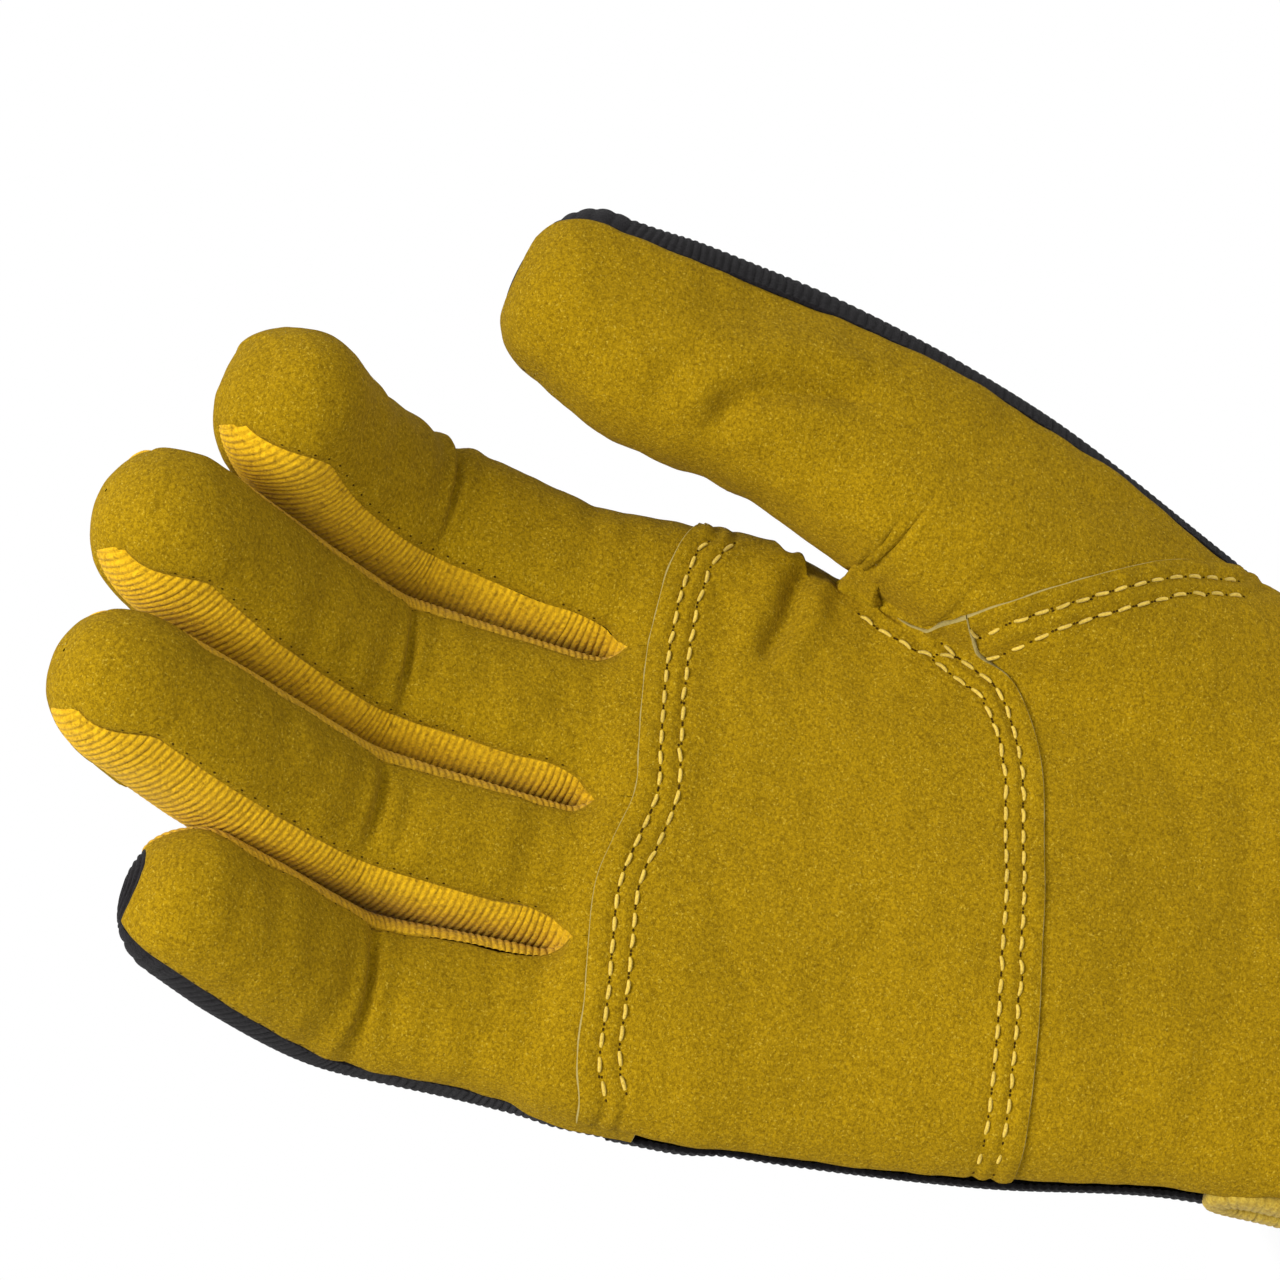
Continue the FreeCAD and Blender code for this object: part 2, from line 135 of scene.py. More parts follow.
def bumps(d, width):
    """A bell of the given width round zero."""
    return np.exp(-(d / width) ** 2)


# ------------------------------------------------------------ the filled glove's shape

class Chain:
    """A soft tube along a curved middle line, with rounded oval sections and round ends."""

    def __init__(self, middle, wide, front, back, power, cap):
        ahead = unit(np.gradient(middle, axis=0))
        side = unit(X - (ahead @ X)[:, None] * ahead)
        face = np.cross(side, ahead)
        self.rows = np.column_stack([middle, ahead, side, face, wide, front, back, power])
        self.last = len(middle) - 1
        self.step = np.linalg.norm(middle[1] - middle[0])
        self.cap = cap

    def at(self, index):
        i = np.clip(np.floor(index).astype(int), 0, self.last - 1)
        f = (index - i)[:, None]
        return self.rows[i] * (1 - f) + self.rows[i + 1] * f

    def axes(self, index):
        """Middle, ahead, side and face at each index, for grids."""
        row = self.at(index)[:, None]
        return row[..., :3], row[..., 3:6], row[..., 6:9], row[..., 9:12]

    def __call__(self, p):
        c = self.rows[:, :3]
        near = np.argmin((c * c).sum(1) - 2 * (p @ c.T), axis=1)
        row = self.rows[near]
        index = np.clip(near + ((p - row[:, :3]) * row[:, 3:6]).sum(1) / self.step, 0, self.last)
        row = self.at(index)
        d = p - row[:, :3]
        u, v = (d * row[:, 6:9]).sum(1), (d * row[:, 9:12]).sum(1)
        w = np.where((index <= 0) | (index >= self.last), np.abs((d * row[:, 3:6]).sum(1)), 0)
        deep = np.where(v > 0, row[:, 13], row[:, 14])
        n = row[:, 15]
        r = (np.abs(u / row[:, 12]) ** n + np.abs(v / deep) ** n + (w / self.cap) ** n) ** (1 / n)
        size = np.sqrt(u * u + v * v + w * w)
        return np.where(r > 1e-4, size * (1 - 1 / np.maximum(r, 1e-4)), -5.0)


# Middle X, middle Y, Z up the palm, half width, half depth.
PALM = through([(0, 0, 0, 48, 24), (0.5, 0, 34, 44.5, 19.5), (4, 0, 60, 48, 18), (0.9, 0, 95, 50.6, 16.8),
                (-1.2, 0, 132, 52.2, 15.4), (-1.4, 0, 170, 53.6, 14)], 120)
MIDDLE, WIDE, DEEP = 0, 3, 4        # columns of PALM
PALM_TOP = 171.0
PALM_POWER = 2.8


def palm_at(z, column):
    return np.interp(z, PALM[:, 2], PALM[:, column])


def palm_field(p):
    middle, wide, deep = (palm_at(p[:, 2], column) for column in (MIDDLE, WIDE, DEEP))
    u, v = p[:, 0] - middle, p[:, 1]
    r = (np.abs(u / wide) ** PALM_POWER + np.abs(v / deep) ** PALM_POWER) ** (1 / PALM_POWER)
    side = np.where(r > 1e-4, np.hypot(u, v) * (1 - 1 / np.maximum(r, 1e-4)), -5.0)
    return -soft_min(-side, PALM_TOP - p[:, 2], 8)


JOINT = {j["name"]: np.array(j["pos_m"]) / MM for j in frame["joints"]}
# Half width at the root and past the fold, half depth, lean of each part, length of the end, more
# curl, and how far the end turns towards the thumb.
FINGERS = {
    "index": (12.6, 14.3, 12.6, 8, 38, 51, 36, 0.6),
    "middle": (12.7, 13.8, 12.6, 9, 36, 61.5, 14, 4.6),
    "ring": (11.6, 12.6, 11.5, 14, 35, 60, 3, 4.4),
    "little": (12.6, 12.7, 11.6, 8, 35, 43, 4, 3.0),
}
LEAN, END_LEAN, LENGTH = 3, 4, 5    # columns of FINGERS
SHIFT = {"little": 1.4}             # of the middle line from its joints, towards the thumb
ROOT = 150.0                        # where the stalls' middle lines start, inside the palm
CAP_SHARE = 0.27                    # of the end's length, the rounded tip


def joints_of(name):
    return JOINT[f"{name}_knuckle"], JOINT[f"{name}_middle_joint"]


def folds_at(name):
    """How far along a stall's middle line its knuckle and its fold are."""
    knuckle, fold = joints_of(name)
    first = knuckle[2] - ROOT
    return first, first + np.linalg.norm(fold - knuckle)


def finger_chain(name):
    wide, end_wide, deep, lean, end_lean, length, curl, aside = FINGERS[name]
    knuckle, fold = joints_of(name)
    first, second = folds_at(name)
    total = second + length * (1 - CAP_SHARE)
    s = np.linspace(0, total, int(total / 1.5))
    angle = np.radians(lean * ease(s, first - 9, first + 9)
                       + (end_lean - lean) * ease(s, second - 8, second + 8)
                       + curl * ease(s, second + 2, second + length))
    half_way = (angle[1:] + angle[:-1]) / 2
    y = knuckle[1] - np.r_[0, np.cumsum(np.sin(half_way))] * s[1]
    z = ROOT + np.r_[0, np.cumsum(np.cos(half_way))] * s[1]
    past = ease(s, first, second)
    end = (s - second) / length
    x = knuckle[0] + (fold[0] - knuckle[0]) * past + aside * np.clip(end, 0, 1) ** 1.5 + SHIFT.get(name, 0)
    share = np.interp(end, [-1, 0.25, 0.5, 0.73], [1, 1.0, 0.985, 0.94])
    half = np.where(end < 0, wide + (end_wide - wide) * past, end_wide) * share
    pad = 1 + 0.06 * bumps(end - 0.55, 0.25)
    pinch = 1 - 0.07 * bumps(end, 0.09)
    power = np.interp(s, [first - 5, first + 22], [3.3, 2.35])
    return Chain(np.column_stack([x, y, z]), half, deep * share * pad * pinch, deep * share, power,
                 length * CAP_SHARE)


CHAINS = {name: finger_chain(name) for name in FINGERS}
# Middle of the thumb, its half width and its half depth.
THUMB_LINE = through([(32, -2, 36, 12, 10), (41, -5, 58, 19.5, 13), (52.5, -10, 86, 21.3, 15),
                      (61.3, -17, 114, 22.6, 15.5), (67.5, -21.8, 134, 20.9, 14.8),
                      (72.2, -25.2, 153, 19.3, 13.8), (73.9, -26.7, 166, 19.0, 13.8),
                      (75.8, -28.7, 181, 18.3, 13.4), (78.4, -30, 191, 16.2, 12.2)], 100)
THUMB = Chain(THUMB_LINE[:, :3], *THUMB_LINE.T[[3, 4, 4]], np.full(len(THUMB_LINE), 2.3), 12.2)
THUMB_REACH = 34.0                  # past the thumb's skin from its middle
WEB = 144.0                         # height of the fork between thumb and palm
GONE = 40.0                         # added to a field where its part has faded out


def hand_field(p):
    f = palm_field(p)
    for chain in CHAINS.values():
        f = soft_min(f, chain(p), 4)
    return f


def whole_field(p):
    """Palm, fingers and the thumb's base as one skin. The thumb fades out above its fork."""
    return soft_min(hand_field(p), THUMB(p) + GONE * ease(p[:, 2], WEB - 5, WEB + 2), 9)


def thumb_field(p):
    return soft_min(THUMB(p), hand_field(p) + GONE * ease(p[:, 2], WEB - 10, WEB + 1), 9)


def cast(field, origin, way, reach=75.0):
    """Where straight lines that start inside the glove come out of it."""
    shape = np.broadcast_shapes(origin.shape, way.shape)
    o = np.broadcast_to(origin, shape).reshape(-1, 3)
    d = unit(np.broadcast_to(way, shape)).reshape(-1, 3)
    low, high = np.zeros(len(o)), np.full(len(o), reach)
    for _ in range(15):
        mid = (low + high) / 2
        inside = field(o + d * mid[:, None]) < 0
        low, high = np.where(inside, mid, low), np.where(inside, high, mid)
    return (o + d * low[:, None]).reshape(shape)


def spokes(angle, face, side):
    """Directions at an angle from the face, towards the side."""
    return np.cos(angle)[..., None] * face + np.sin(angle)[..., None] * side


# ------------------------------------------------------------ sheets

def finer(grid, rows, columns):
    """A grid with more rows and columns, on smooth curves through the old ones."""
    for axis, times in ((0, rows), (1, columns)):
        if times == 1:
            continue
        g = np.moveaxis(grid, axis, 0)
        at = np.linspace(0, len(g) - 1, (len(g) - 1) * times + 1)
        i = np.clip(at.astype(int), 0, len(g) - 2)
        slope = np.gradient(g, axis=0)
        grid = np.moveaxis(hermite(g[i], g[i + 1], slope[i], slope[i + 1], (at - i)[:, None, None]), 0, axis)
    return grid


def finer_rows(values, times):
    n = len(values)
    return np.interp(np.linspace(0, n - 1, (n - 1) * times + 1), np.arange(n), values)


def grid_normals(p, away):
    """Normals of a grid, all on the side that the away vectors point to."""
    n = np.cross(np.gradient(p, axis=0), np.gradient(p, axis=1))
    size = np.linalg.norm(n, axis=-1, keepdims=True)
    n = n if (n * away).sum() > 0 else -n
    sound = (size > 0.05 * np.median(size)) & ((n * away).sum(-1, keepdims=True) > 0)
    return np.where(sound, unit(n), unit(away))


def raised(p, n, height):
    """A grid moved along its normals."""
    return p + n * np.reshape(height, p.shape[:2])[..., None]


ALL = slice(None)
EDGES = {"n": ((-1,), (-2,)), "s": ((0,), (1,)), "w": ((ALL, 0), (ALL, 1)), "e": ((ALL, -1), (ALL, -2))}
SUEDE_SKIP, KNIT_SKIP = (4, 4), (8, 2)      # rows and columns left out of the inner faces


class Mesh:
    """Gathers grids and small parts into one object."""

    def __init__(self, name):
        self.name, self.count = name, 0
        self.points, self.normals, self.faces, self.rims, self.slots = [], [], [], [], []

    def add(self, points, normals, faces, rim=0.0, slot=0):
        self.points.append(points.reshape(-1, 3))
        self.normals.append(normals.reshape(-1, 3))
        self.rims.append(np.broadcast_to(np.reshape(rim, -1) if np.ndim(rim) else rim, len(self.points[-1])))
        self.faces.append(faces + self.count)
        self.slots.append(np.full(len(faces), slot))
        self.count += len(self.points[-1])

    def grid(self, p, n, flip, rim=0.0, slot=0):
        rows, columns = p.shape[:2]
        k = np.arange(rows * columns).reshape(rows, columns)
        f = np.stack([k[:-1, :-1], k[1:, :-1], k[1:, 1:], k[:-1, 1:]], -1).reshape(-1, 4)
        self.add(p, n, f[:, ::-1] if flip else f, rim, slot)

    def sheet(self, p, n, thick, sides="nsew", skip=SUEDE_SKIP, rim=0.0, raw=1.0):
        """A panel: its face, cut edges on the named sides and a plainer inner face. The face may carry
        painted shade between its ribs. Raw is how pale the cut edges are."""
        r, c = p.shape[0] // 2, p.shape[1] // 2
        flip = np.cross(p[r + 1, c] - p[r, c], p[r, c + 1] - p[r, c]) @ n[r, c] < 0
        self.grid(p, n, flip, rim)
        under = p - n * thick
        pick = np.ix_(*(np.unique(np.r_[np.arange(0, count, step), count - 1])
                        for count, step in zip(p.shape, skip)))
        self.grid(under[pick], -n[pick], not flip)
        for side, (edge, inner) in EDGES.items():
            if side not in sides:
                continue
            top, low = p[edge], under[edge]
            out = unit(p[edge] - p[inner])
            strip = np.stack([top, top + (low - top) * 0.12 + out * thick * 0.12,
                              (top + low) / 2 + out * thick * 0.2, low])
            normal = np.stack([unit(n[edge] + out * 0.4), unit(n[edge] + out), out, unit(out - n[edge])])
            facing = np.cross(strip[1, 0] - strip[0, 0], strip[0, 1] - strip[0, 0]) @ (out[0] + n[edge][0])
            self.grid(strip, normal, facing < 0, raw)

    def dots(self, place, normal, ahead, size, slot=1):
        """Small dark discs sunk into a surface: painted shade in needle holes."""
        across = unit(np.cross(normal, ahead))
        turn = np.linspace(0, TURN, 7)[:-1]
        ring = (place[:, None] + size * (np.cos(turn)[None, :, None] * ahead[:, None]
                                         + 0.75 * np.sin(turn)[None, :, None] * across[:, None]))
        p = np.concatenate([(place + normal * 0.12)[:, None], ring], 1)
        k = np.arange(len(place))[:, None, None] * 7
        f = (k + np.array([[0, 1, 2, 3], [0, 3, 4, 5], [0, 5, 6, 1]])).reshape(-1, 4)
        self.add(p, np.repeat(normal, 7, axis=0), f, 0.0, slot)

    def stitches(self, place, normal, ahead, length, radius, slot):
        """Short threads that lie on a surface and dive into it at both ends."""
        across = unit(np.cross(normal, ahead))
        along = np.array([-0.5, -0.42, -0.2, 0.0, 0.2, 0.42, 0.5]) * length
        lift = np.array([-0.9, -0.1, 0.75, 0.95, 0.75, -0.1, -0.9]) * radius
        girth = np.array([0.45, 0.8, 1, 1, 1, 0.8, 0.45]) * radius
        spine = (place[:, None] + along[None, :, None] * ahead[:, None]
                 + lift[None, :, None] * normal[:, None])
        turn = np.linspace(0, TURN, 9)[None, None]
        out = spokes(turn, across[:, None, None], normal[:, None, None])
        p = spine[:, :, None] + girth[None, :, None, None] * out
        for one, n in zip(p, np.broadcast_to(out, p.shape)):
            self.grid(one, n, True, 0.0, slot)

    def build(self, slot, materials):
        p, f = np.concatenate(self.points) * MM, np.concatenate(self.faces)
        mesh = bpy.data.meshes.new(self.name)
        mesh.vertices.add(len(p))
        mesh.vertices.foreach_set("co", p.ravel())
        mesh.loops.add(f.size)
        mesh.loops.foreach_set("vertex_index", f.ravel())
        mesh.polygons.add(len(f))
        mesh.polygons.foreach_set("loop_start", np.arange(len(f)) * f.shape[1])
        mesh.polygons.foreach_set("material_index", np.concatenate(self.slots))
        mesh.update(calc_edges=True)
        mesh.polygons.foreach_set("use_smooth", np.full(len(f), True))
        # per point: the cut edges' tone and the painted shade between ribs
        rim = mesh.attributes.new("rim", "FLOAT", "POINT")
        rim.data.foreach_set("value", np.concatenate(self.rims).astype(np.float32))
        for m in materials:
            mesh.materials.append(m)
        mesh.normals_split_custom_set_from_vertices(unit(np.concatenate(self.normals)))
        piece = bpy.data.objects.new(self.name, mesh)
        bpy.context.scene.collection.objects.link(piece)
        return piece


# ------------------------------------------------------------ materials

def linear(r, g, b):
    """A colour given as it looks on a screen, from 0 to 255."""
    c = np.array([r, g, b]) / 255
    return tuple(np.where(c < 0.04045, c / 12.92, ((c + 0.055) / 1.055) ** 2.4)) + (1.0,)


def grey(v):
    return (v, v, v, 1)


def material(name, roughness, sheen=0.0, sheen_tint=(1, 1, 1)):
    m = bpy.data.materials.new(name)
    m.use_nodes = True
    shader = m.node_tree.nodes["Principled BSDF"]
    shader.inputs["Roughness"].default_value = roughness
    shader.inputs["Specular IOR Level"].default_value = 0.04
    shader.inputs["Sheen Weight"].default_value = sheen
    shader.inputs["Sheen Roughness"].default_value = 0.6
    shader.inputs["Sheen Tint"].default_value = (*sheen_tint, 1)
    return m, m.node_tree, shader


def noise(tree, scale, detail=4.0, roughness=0.6, distortion=0.0):
    """Noise over the object, in cycles per millimetre."""
    place = tree.nodes.new("ShaderNodeTexCoord")
    texture = tree.nodes.new("ShaderNodeTexNoise")
    texture.inputs["Scale"].default_value = scale / MM
    texture.inputs["Detail"].default_value = detail
    texture.inputs["Roughness"].default_value = roughness
    texture.inputs["Distortion"].default_value = distortion
    tree.links.new(place.outputs["Object"], texture.inputs["Vector"])
    return texture.outputs["Fac"]


def attribute(tree, name):
    a = tree.nodes.new("ShaderNodeAttribute")
    a.attribute_name = name
    return a.outputs["Fac"]


def ramp(tree, source, low, high, start, end):
    """Colour that runs from start to end while the source runs from low to high."""
    r = tree.nodes.new("ShaderNodeValToRGB")
    tree.links.new(source, r.inputs["Fac"])
    for element, at, colour in zip(r.color_ramp.elements, (low, high), (start, end)):
        element.position, element.color = at, colour
    return r.outputs["Color"]


def mix(tree, a, b, fac, kind="MIX"):
    """Mixes two colours, each a socket or a constant."""
    m = tree.nodes.new("ShaderNodeMix")
    m.data_type, m.blend_type = "RGBA", kind
    for value, socket in ((fac, m.inputs[0]), (a, m.inputs[6]), (b, m.inputs[7])):
        if isinstance(value, bpy.types.NodeSocket):
            tree.links.new(value, socket)
        else:
            socket.default_value = value
    return m.outputs[2]


def shaded(tree, colour, source, low, high, start, end):
    """A colour made lighter or darker as the source runs from low to high."""
    return mix(tree, colour, ramp(tree, source, low, high, grey(start), grey(end)), 1.0, "MULTIPLY")


def bump(tree, shader, parts):
    """Bump from several heights, each with its depth in millimetres."""
    last = None
    for source, depth in parts:
        b = tree.nodes.new("ShaderNodeBump")
        b.inputs["Strength"].default_value = 1.0
        b.inputs["Distance"].default_value = depth * MM
        tree.links.new(source, b.inputs["Height"])
        if last:
            tree.links.new(last, b.inputs["Normal"])
        last = b.outputs["Normal"]
    tree.links.new(last, shader.inputs["Normal"])


def suede_material():
    """Napped leather, mottled and worn, with pale flecks and pale cut edges."""
    m, t, s = material("suede", 0.95, 0.03, (1.0, 0.8, 0.25))
    fibre = noise(t, 1.9, 4, 0.8, 0.5)
    blotch = noise(t, 0.055, 3, 0.55)
    colour = ramp(t, fibre, 0.36, 0.62, linear(102, 77, 1), linear(150, 119, 9))
    colour = shaded(t, colour, blotch, 0.3, 0.7, 0.93, 1.05)
    colour = shaded(t, colour, noise(t, 0.018, 2, 0.5), 0.35, 0.65, 0.92, 1.05)
    fleck = ramp(t, noise(t, 2.4, 2, 0.5), 0.62, 0.7, grey(0), grey(0.6))
    colour = mix(t, colour, linear(178, 150, 46), fleck)
    edge = ramp(t, attribute(t, "rim"), 0.2, 0.9, grey(0), grey(1))
    colour = mix(t, colour, linear(146, 130, 76), edge)
    t.links.new(colour, s.inputs["Base Color"])
    bump(t, s, [(blotch, 0.6), (noise(t, 0.4, 3, 0.6), 0.25), (fibre, 0.3)])
    return m


def rib_material(name, light, dark, sheen, hole_shade=0.0):
    """Knitted or ribbed cloth. The ribs themselves are in the mesh; shade is painted darker between them, and
    the cut edges are darker too.
    """
    m, t, s = material(name, 0.85, sheen)
    yarn = noise(t, 1.4, 3, 0.7, 0.6)
    colour = ramp(t, yarn, 0.3, 0.65, linear(*dark), linear(*light))
    # painted shade between the ribs, and darker cut edges
    colour = shaded(t, colour, attribute(t, "rim"), 0.0, 0.45, 1, 0.62)
    # painted shade: dark spots where the knit's holes are
    if hole_shade:
        colour = shaded(t, colour, noise(t, 1.15, 1, 0.4), 0.6, 0.7, 1, 1 - hole_shade)
    colour = shaded(t, colour, noise(t, 0.06, 2, 0.5), 0.3, 0.7, 0.9, 1.08)
    t.links.new(colour, s.inputs["Base Color"])
    bump(t, s, [(yarn, 0.25), (noise(t, 3.5, 2, 0.6), 0.1)])
    return m


def cloth_material(name, light, dark, sheen, fine, depth, roughness=0.85):
    m, t, s = material(name, roughness, sheen)
    yarn = noise(t, fine, 3, 0.6, 0.5)
    colour = ramp(t, yarn, 0.3, 0.66, linear(*dark), linear(*light))
    colour = shaded(t, colour, noise(t, 0.08, 2, 0.5), 0.3, 0.7, 0.88, 1.08)
    t.links.new(colour, s.inputs["Base Color"])
    bump(t, s, [(yarn, depth)])
    return m


MATERIALS = {
    "suede": suede_material(),
    "back_rib": rib_material("black_rib", (26, 24, 26), (10, 9, 10), 0.03),
    "fourchette_knit": rib_material("fourchette_knit", (200, 157, 18), (158, 118, 4), 0.05, 0.3),
    "binding_knit": rib_material("binding_knit", (176, 150, 56), (136, 108, 24), 0.08),
    "lining_knit": rib_material("lining_knit", (168, 142, 60), (126, 100, 28), 0.08),
    "strap_webbing": rib_material("strap_webbing", (30, 29, 31), (12, 12, 13), 0.05),
    "elastic": rib_material("elastic", (34, 33, 34), (14, 14, 15), 0.05),
    "hook_tape": cloth_material("hook_tape", (38, 37, 39), (14, 14, 15), 0.0, 1.2, 0.5, 0.5),
    "loop_tape": cloth_material("loop_tape", (34, 33, 35), (9, 9, 10), 0.15, 0.7, 0.9),
}
THREAD = cloth_material("thread", (196, 168, 70), (158, 130, 40), 0.1, 3.0, 0.08, 0.6)
# dark brown for the painted shade inside needle holes
NEEDLE_HOLE_SHADE = cloth_material("needle_hole_shade", (58, 40, 4), (34, 22, 2), 0.0, 2.0, 0.1)


def placed(m, slot, nodes, body="hand", bend=None, extra=()):
    """Builds a piece, ties it to its body and takes the place of plain nodes. A bend is the body before it
    and the two ends of the soft part between them; if one is given, only the piece's transform is baked, and
    nothing bends."""
    piece = m.build(slot, [MATERIALS[slot], *extra])
    if bend:
        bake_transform(piece)
    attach(piece, body)
    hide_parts(*nodes)


# ------------------------------------------------------------ cloth and leather surfaces

SUEDE_THICK, PALM_THICK, KNIT_THICK = 1.1, 1.3, 0.8
RIB_PITCH, RIB_DEPTH = 1.5, 0.42
FRONT_LIFT, PATCH_LIFT, HEEL_LIFT = 0.55, 1.6, 0.95     # of the suede's layers off the plain shape


def ribs(p, n, pitch, depth, seed, way=0, shade=0.45):
    """Knitted ribs across a fine grid, a little uneven, and the shade painted between them."""
    g = p if way == 0 else np.swapaxes(p, 0, 1)
    s = measured(g[:, g.shape[1] // 2])[:, None]
    s = s + 0.25 * waves(g.reshape(-1, 3), 14, seed).reshape(g.shape[:2])
    height = np.sqrt(np.clip(np.sin(math.pi * np.mod(s / pitch, 1)), 0, 1))
    height = height if way == 0 else height.T
    return raised(p, n, (height - 0.5) * depth), shade * (1 - height)


def knitted(grid, way, lift=0.0):
    """Ribbed black cloth on a grid: points, normals and the shade painted between the ribs."""
    p, w = finer(grid, 5, 1), finer(way, 5, 1)
    n = grid_normals(p, w)
    p, shade = ribs(p + n * lift, n, RIB_PITCH, RIB_DEPTH, 5)
    return p, grid_normals(p, w), shade


def leather(grid, way, lift, seed=3):
    """Uneven suede on a grid: points, the plain shape's normals and the finer ray directions."""
    p, w = finer(grid, 2, 2), finer(way, 2, 2)
    n = grid_normals(p, w)
    p = p + n * lift
    flat = p.reshape(-1, 3)
    swell = (0.32 * waves(flat, 26, seed) + 0.16 * waves(flat, 9, seed + 1)
             + 0.07 * waves(flat, 3.5, seed + 2, 12))
    return raised(p, n, swell), n, w


def turned(p, n, sides, width=1.7, depth=0.6, fade=1.0):
    """A grid whose named edges curve down, as at a seam sewn from inside."""
    drop = np.zeros(p.shape[:2])
    for side in sides:
        across = side in "we"
        g = p if across else np.swapaxes(p, 0, 1)
        g = g if side in "ws" else g[:, ::-1]
        far = np.cumsum(np.linalg.norm(np.diff(g, axis=1, prepend=g[:, :1]), axis=-1), axis=1)
        d = depth * np.clip(1 - far / width, 0, 1) ** 2
        d = d if side in "ws" else d[:, ::-1]
        drop = np.maximum(drop, d if across else d.T)
    return raised(p, n, -drop * np.reshape(fade, (-1, 1)))


def part_of(panel, rows):
    """Some rows of a panel's points, normals and shade."""
    return tuple(a[rows] if np.ndim(a) else a for a in panel)


# ------------------------------------------------------------ fingers

TILT = {"index": 42.0, "middle": 14.0, "ring": 3.0, "little": 52.0}     # of the round tips' poles
TIP_END = 60.0                  # where the front panel ends on the round tip
TIP_WIDEN = 30.0                # how much further round it reaches there
GAPS = {"index": (25.3, None), "middle": (-2.8, 25.3), "ring": (-27.8, -2.8), "little": (None, -27.8)}
CROTCH = 171.0
EDGE, BACK_EDGE = 47.0, 125.0   # ends of the front and back panels, as angles from the front
WRAP = {"index": 122.0, "little": -80.0}
ROOT_WRAP = {"index": 108.0, "little": 84.0}
HOLES = {"index": "w", "middle": "we", "ring": "we", "little": "we"}    # edges with needle holes
SPLIT = 194.0                   # between the parts that follow the knuckle and the fold
STRIP_ROOT = 170.2              # lowest end of the side strips
CAP_START, BACK_END = 0.62, 0.70        # of the end's length, the tip cap's overlap on the back


def finger_rows(name):
    """Row positions along a stall: index on its middle line and turn over the round tip."""
    chain = CHAINS[name]
    near = (168 - ROOT) / chain.step, (182 - ROOT) / chain.step
    body = np.r_[np.arange(4 / chain.step, near[0], 1.2), np.arange(near[0], near[1], 0.5),
                 np.arange(near[1], chain.last, 1.0), chain.last]
    tip = np.radians(np.r_[np.arange(4, TIP_END, 4), np.arange(TIP_END, 90, 3.625)])
    return np.r_[body, np.full(len(tip), chain.last)], np.r_[np.zeros(len(body)), tip]


def tilted(radial, ahead, face, tip, tilt):
    """Ray directions over a round tip, whose lines meet behind its end by the tilt angle."""
    way = np.cos(tip)[:, None, None] * radial + np.sin(tip)[:, None, None] * ahead
    turn = np.radians(tilt) * tip[:, None, None] / (math.pi / 2)
    f, a = (way * face).sum(-1, keepdims=True), (way * ahead).sum(-1, keepdims=True)
    return (way + (f * np.cos(turn) - a * np.sin(turn) - f) * face
            + (a * np.cos(turn) + f * np.sin(turn) - a) * ahead)


def room(z):
    """Half the gap between two stalls. Below the crotch they overlap a little instead."""
    return 0.06 - 0.2 * ease(-z, -CROTCH - 1, -CROTCH + 1)


def skin(name, origin, way):
    """A stall's surface along rays, kept on its own side of the planes between the fingers."""
    p = cast(lambda at: soft_min(CHAINS[name](at), palm_field(at), 5), origin, way)
    low, high = GAPS[name]
    gap = room(origin[:, :1, 2])
    if low is not None:
        p[..., 0] = -soft_min(-p[..., 0], -low - gap, 0.8)
    if high is not None:
        p[..., 0] = soft_min(p[..., 0], high - gap, 0.8)
    return p, way


def fan(name, index, tip, left, right, columns, behind=False):
    """Grid of a front or back panel. Its lines run straight forward or back inside the palm and
    turn into rays from the middle line up the stall. left and right are angles from the front."""
    middle, ahead, side, face = CHAINS[name].axes(index)
    x, z = middle[..., 0], middle[..., 2]
    low, high = GAPS[name]
    half = 0.45 * FINGERS[name][0]
    u = np.linspace(0, 1, columns)[None, :]
    blend = ease(z, CROTCH, CROTCH + 17)
    inset = room(z) + 2.5 * np.sqrt(np.clip((z - CROTCH) / 4.5, 0, 1))
    x_low, turn_low = (low - x + inset, 0.0) if low is not None else (-half + 0 * z, -ROOT_WRAP["little"])
    x_high, turn_high = (high - x - inset, 0.0) if high is not None else (half + 0 * z, ROOT_WRAP["index"])
    first, second = (1 - u) ** 2, u ** 2
    flat_turn = turn_low * first + turn_high * second
    if behind:
        x_low, x_high = x_high, x_low
        turn_low, turn_high = (turn_high or 180), 360 + (turn_low or -180)
        flat_turn = turn_low * first + turn_high * second + 180 * (1 - first - second)
    aside = x_low * (1 - u) + x_high * u
    left, right = np.reshape(left, (-1, 1)), np.reshape(right, (-1, 1))
    angle = np.radians(flat_turn * (1 - blend) + (left + (right - left) * u) * blend)
    origin = middle + (aside * (1 - blend))[..., None] * side
    return skin(name, origin, tilted(spokes(angle, face, side), ahead, face, tip, TILT[name]))


def between(name, index, tip, start, stop, columns):
    """Grid of a side strip, from one panel's edge to another's, round the side of the stall."""
    middle, ahead, side, face = CHAINS[name].axes(index)
    lean = np.radians(TILT[name]) * tip / (math.pi / 2)

    def turn(points):
        d = points[:, None] - middle
        forward = (d * face).sum(-1)[:, 0] * np.cos(lean) + (d * ahead).sum(-1)[:, 0] * np.sin(lean)
        return np.arctan2((d * side).sum(-1)[:, 0], forward)
    a, b = turn(start), turn(stop)
    b = a + np.where(start[:, 0] > middle[:, 0, 0], (b - a) % TURN, -((a - b) % TURN))
    u = np.linspace(0, 1, columns)[None, :]
    radial = spokes(a[:, None] * (1 - u) + b[:, None] * u, face, side)
    return skin(name, middle, tilted(radial, ahead, face, tip, TILT[name]))


